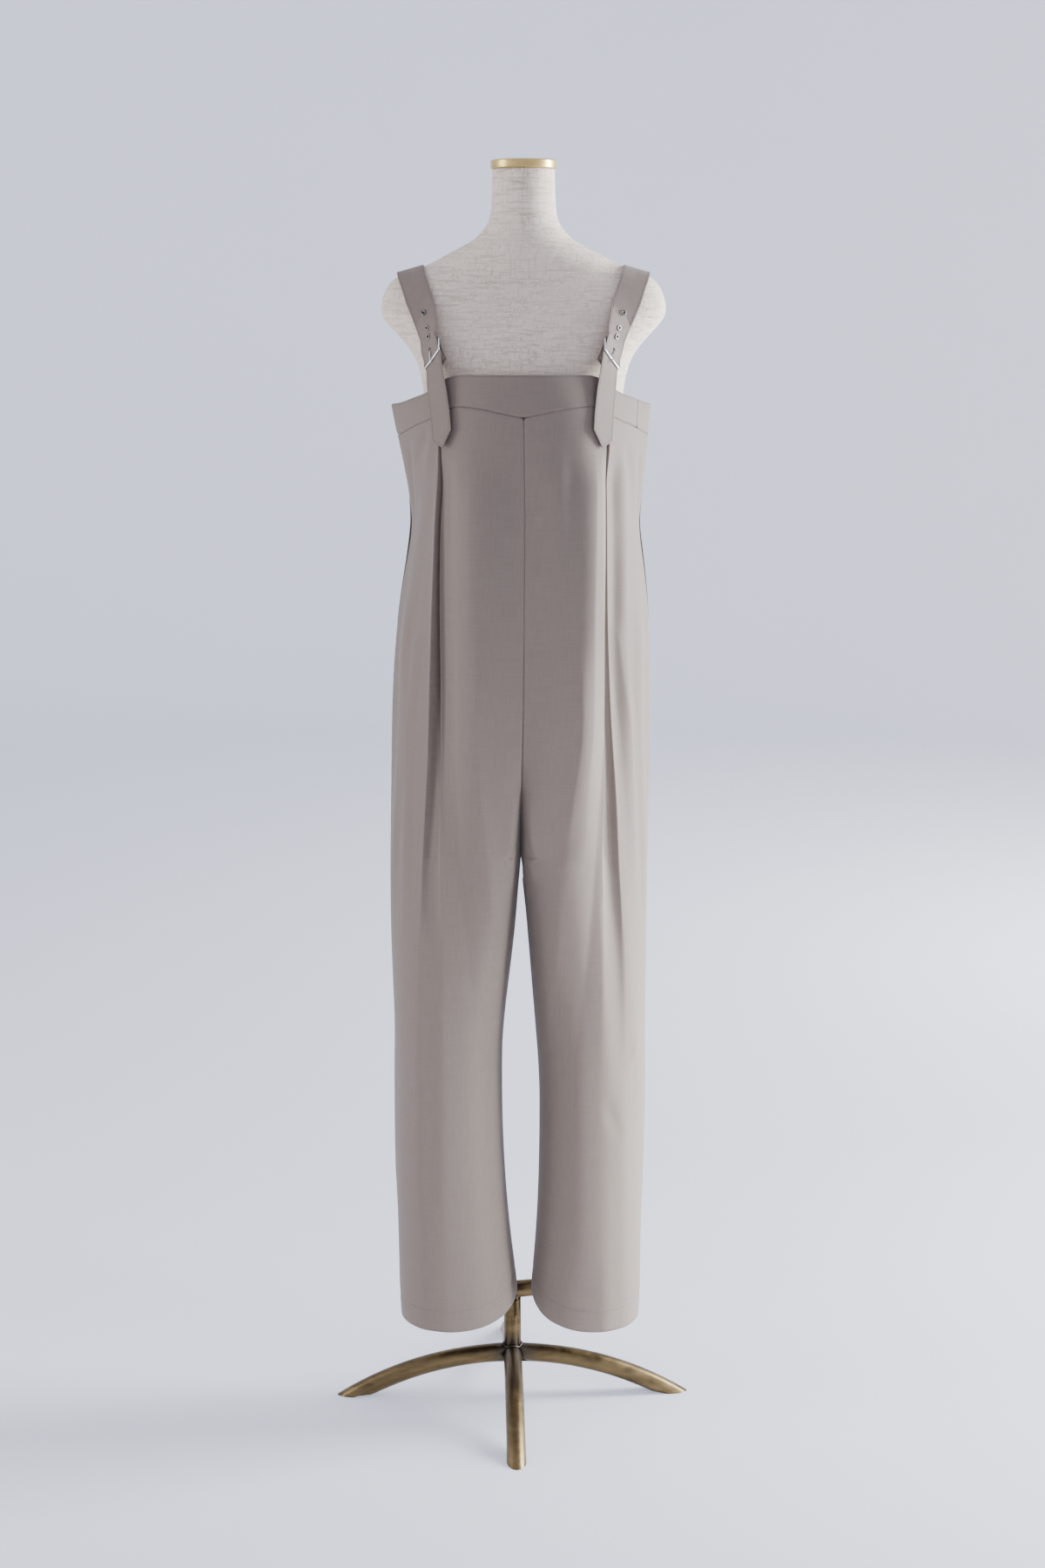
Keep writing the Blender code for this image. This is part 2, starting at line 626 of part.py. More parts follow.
def plan_offset(ring, closed):
    """Mitred plan directions, pointing out of an anticlockwise ring."""
    count = len(ring)
    result = []
    for index in range(count):
        after = ring[(index + 1) % count] if closed or index < count - 1 else ring[index]
        before = ring[index - 1] if closed or index > 0 else ring[index]
        one = unit(ring[index] - before) if np.any(ring[index] != before) else unit(after - ring[index])
        two = unit(after - ring[index]) if np.any(after != ring[index]) else one
        out_one = np.array([one[1], -one[0]])
        out_two = np.array([two[1], -two[0]])
        result.append((out_one + out_two) / max(1 + float(np.dot(out_one, out_two)), BAND_MITRE))
    return np.array(result)


def band_ring(height):
    """The band's plan at one level: anticlockwise from the left side seam along the front."""
    ring = []
    for side, face in ((-1, "front"), (1, "front"), (1, "back"), (-1, "back")):
        curve = base_curve(side, face, height)
        lengths = walk(curve)
        stations = fold_stations(side, face, height, curve, lengths)
        points = [at_length(curve, lengths, place) for place, lift in stations if lift > -CLOTH]
        forward = (side < 0) == (face == "front")
        points = points if forward else points[::-1]
        points = points[:-1]
        for across, y in points:
            if across < 2 * section("gap", height):
                across = 0.0
            ring.append((section("centre", height) + side * across, y, across, face))
    return ring


def band_pieces(collection):
    levels = np.linspace(BAND_FOOT, BAND_TOP, BAND_ROWS)
    outer_rows, inner_rows = [], []
    for level in levels:
        ring = band_ring(level)
        plan = np.array([(x, y) for x, y, _, _ in ring])
        away = plan_offset(plan, True)
        share = (level - BAND_FOOT) / (BAND_TOP - BAND_FOOT)
        heights = []
        for x, y, across, face in ring:
            foot = read(BAND_EDGES, BAND_EDGE_COLUMNS, face + "_foot", across) + SEAM_GAP
            top = read(BAND_EDGES, BAND_EDGE_COLUMNS, face + "_top", across)
            heights.append(foot + (top - foot) * share)
        heights = np.array(heights).reshape(-1, 1)
        outer_rows.append(np.concatenate([plan, heights], axis=1))
        inner_rows.append(np.concatenate([plan - BAND_CLOTH * away, heights], axis=1))
    outer, inner = np.array(outer_rows), np.array(inner_rows)
    half = outer.shape[1] // 2
    for name, order in (("band_front", list(range(0, half + 1))),
                        ("band_back", list(range(half, 2 * half)) + [0])):
        outer_part, inner_part = outer[:, order].copy(), inner[:, order].copy()
        for part in (outer_part, inner_part):
            pull(part, 0, 1, np.full(len(levels), HALF_SEAM))
            pull(part, -1, -2, np.full(len(levels), HALF_SEAM))
        finish(wall_solid(name, outer_part, inner_part), collection, "cloth")


def side_strip(name, side, levels, forward, backward, depth, thickness):
    """A strip under a side seam, a depth inside the cloth's outer face."""
    outer_rows, inner_rows = [], []
    for level in levels:
        halves = []
        for face, reach in (("front", forward), ("back", backward)):
            curve = base_curve(side, face, level)
            lengths = walk(curve)
            halves.append([at_length(curve, lengths, reach * share) for share in STRIP_SHARES])
        plan = np.array(halves[0] + halves[1][::-1][1:])
        away = plan_offset(plan, False)
        outer_row, inner_row = [], []
        for point, direction in zip(plan, away):
            for row, inset in ((outer_row, depth), (inner_row, depth + thickness)):
                across, y = point - direction * inset
                row.append((section("centre", level) + side * across, y, level))
        outer_rows.append(outer_row)
        inner_rows.append(inner_row)
    return wall_solid(name, np.array(outer_rows), np.array(inner_rows))


def seam_strips(collection):
    depth = CLOTH + POCKET_CLEAR + SEAM_GAP
    for side, side_name in ((-1, "left"), (1, "right")):
        strip = side_strip("pocket_" + side_name, side, POCKET_LEVELS,
                           POCKET_FORWARD, POCKET_BACKWARD, depth, FACING)
        finish(strip, collection, "facing")
    zip_depth = BAND_CLOTH + ZIP_CLEAR + SEAM_GAP
    strip = side_strip("side_zip", 1, ZIP_LEVELS, ZIP_HALF_WIDTH, ZIP_HALF_WIDTH, zip_depth, FACING)
    finish(strip, collection, "facing")


def form_value(name, height):
    return read(FORM, FORM_COLUMNS, name, height)


def form_y(across, height, back):
    """Where the form's front or back surface lies."""
    square = form_value("square", height)
    share = min(across / form_value("half", height), 1.0)
    deep = form_value("deep", height) * (1 - share ** square) ** (1 / square)
    return form_value("middle", height) + (deep if back else -deep)


def form_level(across, y, height):
    square = form_value("square", height)
    return ((abs(across) / form_value("half", height)) ** square
            + (abs(y - form_value("middle", height)) / form_value("deep", height)) ** square)


def form_normal(across, y, height):
    slope = Vector((
        form_level(across + FORM_PROBE, y, height) - form_level(across - FORM_PROBE, y, height),
        form_level(across, y + FORM_PROBE, height) - form_level(across, y - FORM_PROBE, height),
        form_level(across, y, height + FORM_PROBE) - form_level(across, y, height - FORM_PROBE)))
    return slope.normalized()


def dress_form(collection):
    rings = []
    for row in FORM:
        height, half, deep, middle, square = row
        ring = []
        for step in range(FORM_SIDES):
            turn = 2 * math.pi * step / FORM_SIDES
            cosine, sine = math.cos(turn), math.sin(turn)
            ring.append((FORM_CENTRE + half * math.copysign(abs(cosine) ** (2 / square), cosine),
                         middle + deep * math.copysign(abs(sine) ** (2 / square), sine), height))
        rings.append(ring)
    points = [point for ring in rings for point in ring]
    faces = []
    for level in range(len(rings) - 1):
        for step in range(FORM_SIDES):
            after = (step + 1) % FORM_SIDES
            faces.append([level * FORM_SIDES + step, level * FORM_SIDES + after,
                          (level + 1) * FORM_SIDES + after, (level + 1) * FORM_SIDES + step])
    faces.append(list(range(FORM_SIDES))[::-1])
    top = (len(rings) - 1) * FORM_SIDES
    faces.append([top + step for step in range(FORM_SIDES)])
    finish(mesh_object("form_torso", points, faces), collection, "linen")
    cap_at = (FORM_CENTRE, form_value("middle", CAP_FOOT))
    cap = cylinder("neck_cap", CAP_RADIUS, CAP_FOOT, CAP_TOP, cap_at, CAP_SIDES)
    edge = cap.modifiers.new("edge", "BEVEL")
    edge.width = CAP_EDGE
    edge.segments = 1
    finish(cap, collection, "cap_brass")


def cylinder(name, radius, foot, top, at, sides):
    shape = bmesh.new()
    place = Matrix.Translation((at[0], at[1], (foot + top) / 2))
    bmesh.ops.create_cone(shape, cap_ends=True, segments=sides, radius1=radius, radius2=radius,
                          depth=top - foot, matrix=place)
    mesh = bpy.data.meshes.new(name)
    shape.to_mesh(mesh)
    shape.free()
    return bpy.data.objects.new(name, mesh)


def strap_rows(side):
    """Centre, width direction and outward direction of each row of one strap."""
    rows = []

    def add_free(row):
        across, y, height, turn, slope = row
        turn, slope = math.radians(turn), math.radians(slope)
        inward = Vector((-math.cos(turn) * math.cos(slope), -math.sin(turn) * math.cos(slope),
                         math.sin(slope)))
        rows.append([Vector((across, y, height)), inward, None])

    for row in TONGUE:
        add_free(row)
    run, inward, away = buckle_axes()
    heart = Vector(BUCKLE_CENTRE)
    for share in (-BUCKLE_ROW_SHARE, BUCKLE_ROW_SHARE):
        rows.append([heart - run * (FRAME_HALF_HEIGHT * share), inward.copy(), away.copy()])
    for row in UPPER_STRAP:
        add_free(row)
    for across, height, back, lift in SHOULDER:
        y = form_y(across, height, back)
        normal = form_normal(across, y, height)
        rows.append([Vector((across, y, height)) + normal * (lift + STRAP / 2), None, normal])
    for row in BACK_STRAP:
        add_free(row)
    for index, row in enumerate(rows):
        before = rows[max(index - 1, 0)][0]
        after = rows[min(index + 1, len(rows) - 1)][0]
        up = (after - before).normalized()
        if row[1] is None:
            row[1] = up.cross(row[2]).normalized()
            if row[1].x > 0:
                row[1] = -row[1]
        if row[2] is None:
            row[2] = up.cross(row[1]).normalized()
            if row[2].dot(Vector((row[0].x, row[0].y, 0))) < 0:
                row[2] = -row[2]
    spreads = [*TONGUE_SPREAD[side], BUCKLE_SPREAD[side], BUCKLE_SPREAD[side], *UPPER_SPREAD[side]]
    spreads += [0.0] * (len(rows) - len(spreads))
    placed = []
    for (centre, inward, away), spread in zip(rows, spreads):
        flip = Vector((side, 1, 1))
        placed.append((Vector((FORM_CENTRE + side * (centre.x + spread), centre.y, centre.z)),
                       inward * flip, away * flip))
    return placed


def buckle_axes():
    """The buckle's run down the strap, its width direction and its outward direction."""
    turn, slope = math.radians(BUCKLE_TURN), math.radians(BUCKLE_SLOPE)
    inward = Vector((-math.cos(turn) * math.cos(slope), -math.sin(turn) * math.cos(slope),
                     math.sin(slope)))
    run = Vector(BUCKLE_RUN)
    run = (run - inward * run.dot(inward)).normalized()
    away = inward.cross(run).normalized()
    if away.y > 0:
        away = -away
    return run, inward, away


def buckle_place(side, along, across, out):
    """A point given in the buckle's own directions."""
    run, inward, away = buckle_axes()
    point = Vector(BUCKLE_CENTRE) + run * along + inward * across + away * out
    return Vector((FORM_CENTRE + side * (point.x + BUCKLE_SPREAD[side]), point.y, point.z))


def ribbon(name, rows, half_width, thickness, point_end=0.0):
    """A flat strip through rows of centre, width direction and outward direction."""
    stations = [(centre, inward * half_width, away) for centre, inward, away in rows]
    if point_end:
        centre, inward, away = rows[0]
        tip = centre + (rows[0][0] - rows[1][0]).normalized() * point_end
        stations.insert(0, (tip, inward * POINT_HALF_WIDTH, away))
    layers = []
    for face in (0.5, -0.5):
        layers.append(np.array([[tuple(centre + width * place + away * thickness * face)
                                 for place in (-1, 0, 1)] for centre, width, away in stations]))
    item = wall_solid(name, *layers)
    shape = bmesh.new()
    shape.from_mesh(item.data)
    bmesh.ops.triangulate(shape, faces=shape.faces)
    shape.to_mesh(item.data)
    shape.free()
    return item


def aligned(axis):
    return axis.to_track_quat("Z", "Y").to_matrix().to_4x4()


def hole_cutter(name, collection, spots):
    """Round cutters joined in one mesh: a place, an axis and a radius for each."""
    shape = bmesh.new()
    for place, axis, radius in spots:
        turn = Matrix.Translation(place) @ aligned(axis)
        bmesh.ops.create_cone(shape, cap_ends=True, segments=HOLE_SIDES, radius1=radius,
                              radius2=radius, depth=HOLE_DEPTH, matrix=turn)
    mesh = bpy.data.meshes.new(name)
    shape.to_mesh(mesh)
    shape.free()
    cutter = bpy.data.objects.new(name, mesh)
    collection.objects.link(cutter)
    cutter.hide_render = True
    cutter.display_type = "WIRE"
    return cutter


def cut(item, cutter):
    modifier = item.modifiers.new("cut", "BOOLEAN")
    modifier.operation = "DIFFERENCE"
    modifier.solver = "EXACT"
    modifier.object = cutter


def row_at_height(rows, height):
    """A place on the front of a strap, between its rows."""
    for low, high in zip(rows, rows[1:]):
        if low[0].z <= height <= high[0].z:
            share = (height - low[0].z) / (high[0].z - low[0].z)
            run = high[0] - low[0]
            width = low[1].lerp(high[1], share)
            away = run.cross(width).normalized()
            if away.dot(low[2]) < 0:
                away = -away
            return low[0].lerp(high[0], share), away
    raise ValueError("no strap row at this height")


def eyelet(name, place, axis):
    """A flanged ring round an open bore, turned about its own axis."""
    reach = STRAP / 2 + EYELET_CLEAR
    profile = [(EYELET_BORE, reach + EYELET_FLANGE), (EYELET_RADIUS, reach + EYELET_FLANGE),
               (EYELET_RADIUS, reach), (EYELET_BARREL, reach), (EYELET_BARREL, -reach),
               (EYELET_RADIUS, -reach), (EYELET_RADIUS, -reach - EYELET_FLANGE),
               (EYELET_BORE, -reach - EYELET_FLANGE)]
    shape = bmesh.new()
    points = [shape.verts.new((radius, 0, height)) for radius, height in profile]
    edges = [shape.edges.new((points[i], points[(i + 1) % len(points)])) for i in range(len(points))]
    bmesh.ops.spin(shape, geom=points + edges, cent=(0, 0, 0), axis=(0, 0, 1), dvec=(0, 0, 0),
                   angle=2 * math.pi, steps=EYELET_STEPS, use_merge=True, use_duplicate=False)
    bmesh.ops.recalc_face_normals(shape, faces=shape.faces)
    shape.transform(Matrix.Translation(place) @ aligned(axis))
    mesh = bpy.data.meshes.new(name)
    shape.to_mesh(mesh)
    shape.free()
    return bpy.data.objects.new(name, mesh)


def curve_mesh(name, points, radius, resolution, cyclic=False):
    """A bar or a tube: a curve with filled caps, made a mesh with its caps welded."""
    curve = bpy.data.curves.new(name, "CURVE")
    curve.dimensions = "3D"
    curve.bevel_depth = radius
    curve.bevel_resolution = resolution
    curve.use_fill_caps = True
    spline = curve.splines.new("POLY")
    spline.points.add(len(points) - 1)
    for slot, point in zip(spline.points, points):
        slot.co = (*point, 1)
    spline.use_cyclic_u = cyclic
    source = bpy.data.objects.new(name + "_curve", curve)
    bpy.context.scene.collection.objects.link(source)
    graph = bpy.context.evaluated_depsgraph_get()
    mesh = bpy.data.meshes.new_from_object(source.evaluated_get(graph))
    mesh.name = name
    shape = bmesh.new()
    shape.from_mesh(mesh)
    bmesh.ops.remove_doubles(shape, verts=shape.verts, dist=WELD)
    bmesh.ops.recalc_face_normals(shape, faces=shape.faces)
    shape.to_mesh(mesh)
    shape.free()
    item = bpy.data.objects.new(name, mesh)
    item.matrix_world = source.matrix_world.copy()
    bpy.data.objects.remove(source, do_unlink=True)
    return item


def bar_offsets():
    """How far the buckle's upper and lower bars lie from the strap's middle."""
    under = -(STRAP / 2 + SEAM_GAP + TAB + SEAM_GAP + BAR_RADIUS)
    over = STRAP / 2 + SEAM_GAP + BAR_RADIUS
    return under, over


def buckle_frame(name, side):
    under, over = bar_offsets()
    long, high = FRAME_HALF_LENGTH, FRAME_HALF_HEIGHT

    def place(along, across):
        share = (along + high) / (2 * high)
        return buckle_place(side, along, across, under + (over - under) * share)

    points = []
    corners = ((-1, -1), (-1, 1), (1, 1), (1, -1))
    for along_sign, across_sign in corners:
        first = (-1, 0) if along_sign * across_sign > 0 else (0, -1)
        second = (0, -1) if along_sign * across_sign > 0 else (-1, 0)
        for cut_along, cut_across in (first, second):
            points.append(place(along_sign * (high + cut_along * FRAME_CORNER),
                                across_sign * (long + cut_across * FRAME_CORNER)))
    return curve_mesh(name, points, BAR_RADIUS, FINE_BAR, cyclic=True)


def prong(name, side):
    over = bar_offsets()[1]
    high = FRAME_HALF_HEIGHT
    clear = BAR_RADIUS + PRONG_RADIUS + SEAM_GAP
    points = [buckle_place(side, clear - high + along, 0, out) for along, out in PRONG_ROOT]
    points += [buckle_place(side, high + along, 0, over + clear + out) for along, out in PRONG_TIP]
    hole = buckle_place(side, clear - high + PRONG_HOLE_ALONG, 0, 0)
    return curve_mesh(name, points, PRONG_RADIUS, THIN_BAR), hole


def strap_tab(name, side):
    """The loop of cloth that holds the buckle: from inside the band, round the upper bar."""
    under = bar_offsets()[0]
    high = FRAME_HALF_HEIGHT
    radius = BAR_RADIUS + SEAM_GAP + TAB / 2
    path = [(along, under + radius + out) for along, out in TAB_FRONT]
    for step in range(TAB_BEND_STEPS + 1):
        turn = math.pi / 2 + math.pi * step / TAB_BEND_STEPS
        path.append((-high + radius * math.cos(turn), under + radius * math.sin(turn)))
    path += [(along, under - radius + out) for along, out in TAB_BACK]
    rows = []
    side_way = buckle_axes()[1] * Vector((side, 1, 1))
    for index, (along, out) in enumerate(path):
        here = buckle_place(side, along, 0, out)
        before = buckle_place(side, *spread(path[max(index - 1, 0)]))
        after = buckle_place(side, *spread(path[min(index + 1, len(path) - 1)]))
        rows.append((here, side_way, (after - before).cross(side_way).normalized()))
    return ribbon(name, rows, TAB_HALF_WIDTH, TAB)


def spread(pair):
    return pair[0], 0, pair[1]


def slot_box(name, side):
    """The room that the prong needs through the tab's front layer and its bend."""
    under = bar_offsets()[0]
    shape = bmesh.new()
    bmesh.ops.create_cube(shape, size=2)
    for corner in shape.verts:
        along = -FRAME_HALF_HEIGHT + (SLOT_END if corner.co.x > 0 else SLOT_START)
        out = under + (SLOT_OUT if corner.co.z > 0 else SLOT_IN)
        corner.co = buckle_place(side, along, SLOT_HALF_WIDTH * corner.co.y, out)
    bmesh.ops.recalc_face_normals(shape, faces=shape.faces)
    mesh = bpy.data.meshes.new(name)
    shape.to_mesh(mesh)
    shape.free()
    return bpy.data.objects.new(name, mesh)


def straps_and_buckles(collection, cutters):
    away = buckle_axes()[2]
    for side, side_name in ((-1, "left"), (1, "right")):
        rows = strap_rows(side)
        strap = ribbon("strap_" + side_name, rows, STRAP_WIDTH / 2, STRAP, TONGUE_POINT)
        pin, pin_hole = prong("prong_" + side_name, side)
        spots = [(pin_hole, away * Vector((side, 1, 1)), PRONG_HOLE)]
        for number, height in enumerate(EYELET_HEIGHTS, start=1):
            place, axis = row_at_height(rows, height)
            spots.append((place, axis, EYELET_HOLE))
            ring = eyelet("eyelet_" + side_name + "_" + str(number), place, axis)
            finish(ring, collection, "silver")
        cut(strap, hole_cutter("strap_holes_" + side_name, cutters, spots))
        finish(strap, collection, "cloth")
        finish(buckle_frame("buckle_" + side_name, side), collection, "silver")
        finish(pin, collection, "silver")
        tab = strap_tab("tab_" + side_name, side)
        cut(tab, wire(slot_box("tab_slot_" + side_name, side), cutters))
        finish(tab, collection, "cloth")


def cut_flat(item, point, normal):
    """Cut a mesh at a plane, keep what lies against the normal and close the cut."""
    shape = bmesh.new()
    shape.from_mesh(item.data)
    parts = list(shape.verts) + list(shape.edges) + list(shape.faces)
    result = bmesh.ops.bisect_plane(shape, geom=parts, plane_co=point, plane_no=normal, clear_outer=True)
    rim = [part for part in result["geom_cut"] if isinstance(part, bmesh.types.BMEdge)]
    bmesh.ops.edgeloop_fill(shape, edges=rim)
    bmesh.ops.recalc_face_normals(shape, faces=shape.faces)
    shape.to_mesh(item.data)
    shape.free()


def stand_legs(collection, post_cutter):
    names = ("leg_right", "leg_back", "leg_left", "leg_front")
    for index, name in enumerate(names):
        turn = math.radians(STAND_TURN + 90 * index)
        along = Vector((math.cos(turn), math.sin(turn), 0))
        points = []
        for step in range(LEG_POINTS):
            angle = math.radians(LEG_END_ANGLE * step / (LEG_POINTS - 1))
            reach = LEG_BOW * math.sin(angle)
            height = LEG_CENTRE_HEIGHT - LEG_BOW * (1 - math.cos(angle))
            points.append(along * reach + Vector((0, 0, height)))
        leg = curve_mesh(name, points, LEG_RADIUS, TUBE_BAR)
        cut_flat(leg, (0, 0, 0), (0, 0, -1))
        for way in (-1, 1):
            mitre = math.radians(LEG_MITRE) * way
            normal = Matrix.Rotation(mitre, 3, "Z") @ along
            cut_flat(leg, along * SEAM_GAP, tuple(normal))
        cut(leg, post_cutter)
        finish(leg, collection, "brass")


def wire(item, collection):
    collection.objects.link(item)
    item.hide_render = True
    item.display_type = "WIRE"
    return item


def stand_parts(collection, cutters):
    post_at = (0, 0)
    post_room = cylinder("post_room", POST_RADIUS + SEAM_GAP, *POST_ROOM, post_at, POST_SIDES)
    stand_legs(collection, wire(post_room, cutters))
    pole_foot = Vector((POLE_AT[0], POLE_AT[1], ARM_HEIGHT))
    start = Vector((0, 0, ARM_HEIGHT))
    run = (pole_foot - start).normalized()
    ends = [start - run * ARM_OVERHANG, pole_foot + run * ARM_OVERHANG]
    arm = curve_mesh("crank_arm", ends, ARM_RADIUS, TUBE_BAR)
    finish(arm, collection, "brass")
    room_ends = [ends[0] - run * ARM_ROOM, ends[1] + run * ARM_ROOM]
    room = wire(curve_mesh("arm_room", room_ends, ARM_RADIUS + SEAM_GAP, TUBE_BAR), cutters)
    saddle = ARM_RADIUS * SADDLE
    post = cylinder("post", POST_RADIUS, POST_FOOT, ARM_HEIGHT - saddle, post_at, POST_SIDES)
    cut(post, room)
    finish(post, collection, "brass")
    form_foot = FORM[0][0]
    flange_top = form_foot - SEAM_GAP
    flange_foot = flange_top - FLANGE
    flange = cylinder("pole_flange", FLANGE_RADIUS, flange_foot, flange_top, POLE_AT, POST_SIDES)
    finish(flange, collection, "brass")
    pole = cylinder("pole", POLE_RADIUS, ARM_HEIGHT + saddle, flange_foot - SEAM_GAP, POLE_AT, TUBE_SIDES)
    cut(pole, room)
    finish(pole, collection, "brass")


def main():
    clear_scene()
    parts = new_collection("salopette_on_form")
    cutters = new_collection("cutters")
    trouser_panels(parts)
    band_pieces(parts)
    seam_strips(parts)
    straps_and_buckles(parts, cutters)
    dress_form(parts)
    stand_parts(parts, cutters)


main()
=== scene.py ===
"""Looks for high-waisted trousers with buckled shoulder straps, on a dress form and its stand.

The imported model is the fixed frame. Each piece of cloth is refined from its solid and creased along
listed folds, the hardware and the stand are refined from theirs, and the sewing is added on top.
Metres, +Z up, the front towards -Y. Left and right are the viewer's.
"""
import json
import math

import bmesh
import bpy
import numpy as np
from bpy.props import FloatProperty, FloatVectorProperty, IntProperty, PointerProperty
from mathutils import Matrix, Vector
from mathutils.bvhtree import BVHTree
from mathutils.kdtree import KDTree

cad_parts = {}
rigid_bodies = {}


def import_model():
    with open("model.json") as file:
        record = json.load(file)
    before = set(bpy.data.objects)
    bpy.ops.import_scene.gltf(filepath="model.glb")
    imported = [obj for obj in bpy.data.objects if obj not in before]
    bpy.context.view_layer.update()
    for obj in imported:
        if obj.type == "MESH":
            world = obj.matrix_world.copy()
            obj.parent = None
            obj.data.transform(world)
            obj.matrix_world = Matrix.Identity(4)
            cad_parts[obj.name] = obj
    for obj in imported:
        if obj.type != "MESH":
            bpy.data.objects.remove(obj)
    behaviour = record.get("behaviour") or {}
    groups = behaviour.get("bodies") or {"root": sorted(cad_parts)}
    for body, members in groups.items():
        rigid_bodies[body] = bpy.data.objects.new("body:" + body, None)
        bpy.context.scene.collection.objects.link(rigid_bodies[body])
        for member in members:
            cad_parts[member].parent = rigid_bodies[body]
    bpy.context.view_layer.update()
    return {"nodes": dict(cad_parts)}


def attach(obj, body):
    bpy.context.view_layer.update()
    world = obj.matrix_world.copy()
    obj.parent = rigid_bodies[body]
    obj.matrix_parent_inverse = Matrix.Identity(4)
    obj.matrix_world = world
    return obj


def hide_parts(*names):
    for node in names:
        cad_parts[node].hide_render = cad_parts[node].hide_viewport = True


bl_info = {
    "name": "Salopette on a dress form",
    "version": (1, 0, 0),
    "blender": (4, 5, 0),
    "location": "3D View > Sidebar > Salopette",
    "description": "Builds the cloth, sewing, hardware, form, stand and studio round the packed model",
    "category": "Object",
}

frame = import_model()

WELD = 0.00001

SIDES = ("left", "right")
PANELS = ("front_left", "front_right", "back_left", "back_right")
BANDS = ("band_front", "band_back")
STRAPS = ("strap_left", "strap_right")
TABS = ("tab_left", "tab_right")
EYELETS = tuple("eyelet_%s_%d" % (side, number) for side in SIDES for number in (1, 2, 3))

# The body's middle line and the two legs' middles, with the half width and half depth of each
BODY = {"x": 0.0160, "y": 0.000, "half": 0.165, "deep": 0.125}
LEGS = {"left": -0.080, "right": 0.102, "y": -0.012, "half": 0.080, "deep": 0.100}
LEG_FROM = 0.98
LEG_FULL = 0.76

# Folds, in millimetres. Each row: the leg, whether its bends are pressed, how long it fades in
# and out, its profile and its route from the top down. The profile gives the height at each
# distance to the viewer's right of the route. The side folds lie on both panels of a leg, are
# drawn in the side plane, and their distances are those behind the route
SOFT = False
PRESSED = True
MILLIMETRES = 1000


def ridge(left, height, right):
    """A profile with one bend, or a trough where the height is negative."""
    return ((left, 0), (0, height), (right, 0))


FRONT_FOLDS = (
    # the left crease: a soft band above, a pressed edge below
    ("left", SOFT, (80, 200), ((-32, 0), (-4, 8.2), (0, 8.5), (55, 0)),
     ((-44, 1330), (-44, 1250), (-43.5, 1100), (-43, 980))),
    ("left", PRESSED, (160, 220), ridge(-32, 13, 60),
     ((-43.7, 1160), (-43, 950), (-40, 850), (-36, 781), (-26, 658), (-19.2, 592), (-12, 500))),
    # the soft inner side of the left pleat, which runs out down the leg
    ("left", SOFT, (60, 280), ((-8, 0), (0, -8.5), (6, -8), (24, 0)),
     ((-90.5, 1340), (-91.5, 1232), (-91.5, 1100), (-90, 960), (-90, 800))),
    # the pressed outer lip of the left pleat
    ("left", PRESSED, (10, 60), ridge(-4, 1.6, 6),
     ((-93.5, 1330), (-99, 1232), (-103.1, 1120), (-108, 960), (-109, 880))),
    # the light zone right of the middle seam and the pressed crease below it
    ("right", SOFT, (60, 220), ((-45, 0), (-18, 2.6), (0, 3), (18, 0)),
     ((60, 1350), (59, 1220), (56, 1080))),
    ("right", PRESSED, (140, 240), ridge(-66, 13.5, 36),
     ((87.2, 1120), (85.4, 961), (79.6, 884), (73.6, 780), (64.8, 658), (48.9, 543), (43, 440))),
    # the bright band along the right pleat
    ("right", PRESSED, (60, 220), ridge(-70, 8, 20),
     ((107.4, 1340), (106.5, 1198), (104.6, 1080), (101, 960), (98.4, 880), (96, 780))),
    # the soft outer side of the right pleat, which runs on down the leg as a trough
    ("right", SOFT, (60, 220), ((-20, 0), (-6, -8.5), (0, -8.5), (16, 0)),
     ((133, 1345), (135, 1232), (137, 1100), (142, 960), (143, 800))),
    ("right", SOFT, (160, 160), ridge(-24, -3, 18),
     ((130, 880), (137.9, 730), (145.7, 610), (155.7, 470), (159, 400))),
    # thin ridges down the outer sides
    ("left", PRESSED, (40, 160), ridge(-9, 2.4, 10),
     ((-119, 1110), (-127.9, 1070), (-137.8, 963), (-142.9, 830), (-146.6, 650))),
    ("left", SOFT, (40, 120), ridge(-11, 2.4, 12),
     ((-107, 1300), (-119, 1230), (-131, 1150), (-142, 1060), (-148, 960))),
    ("right", PRESSED, (40, 160), ridge(-10, 2.4, 9),
     ((138, 1120), (145.3, 1060), (157.8, 963), (162.8, 830), (166.6, 700))),
    ("right", SOFT, (50, 120), ridge(-11, 2.2, 11),
     ((141, 1310), (147.2, 1220), (144.4, 1090), (148, 1000))),
    # creases that the band's ends pull out of the side panels
    ("left", SOFT, (18, 30), ridge(-8, -2.4, 9),
     ((-108, 1365), (-115, 1340), (-124, 1315), (-133, 1300))),
    ("left", PRESSED, (18, 40), ridge(-7, 2.2, 8),
     ((-103, 1350), (-107, 1322), (-111, 1300), (-115, 1280))),
    ("right", SOFT, (30, 50), ridge(-10, -1.8, 10),
     ((146, 1350), (154, 1310), (159, 1265), (160, 1225))),
    # small wrinkles at the right leg's outer edge and a soft shade below them
    ("right", PRESSED, (12, 12), ridge(-6, 1.5, 6), ((174, 552), (168, 530), (166.5, 505))),
    ("right", SOFT, (14, 14), ridge(-7, -1.5, 7), ((172, 520), (166, 497), (167, 475))),
    ("right", SOFT, (30, 40), ridge(-14, -1.5, 14), ((124, 470), (134, 440), (146, 415), (156, 400))),
    # broad soft shapes low on the legs
    ("left", SOFT, (80, 90), ridge(-20, -1.6, 24),
     ((-118, 640), (-112, 500), (-112, 380), (-117, 260))),
    ("right", SOFT, (90, 70), ridge(-28, 1.8, 30), ((96, 560), (96, 430), (99, 310), (101, 190))),
)
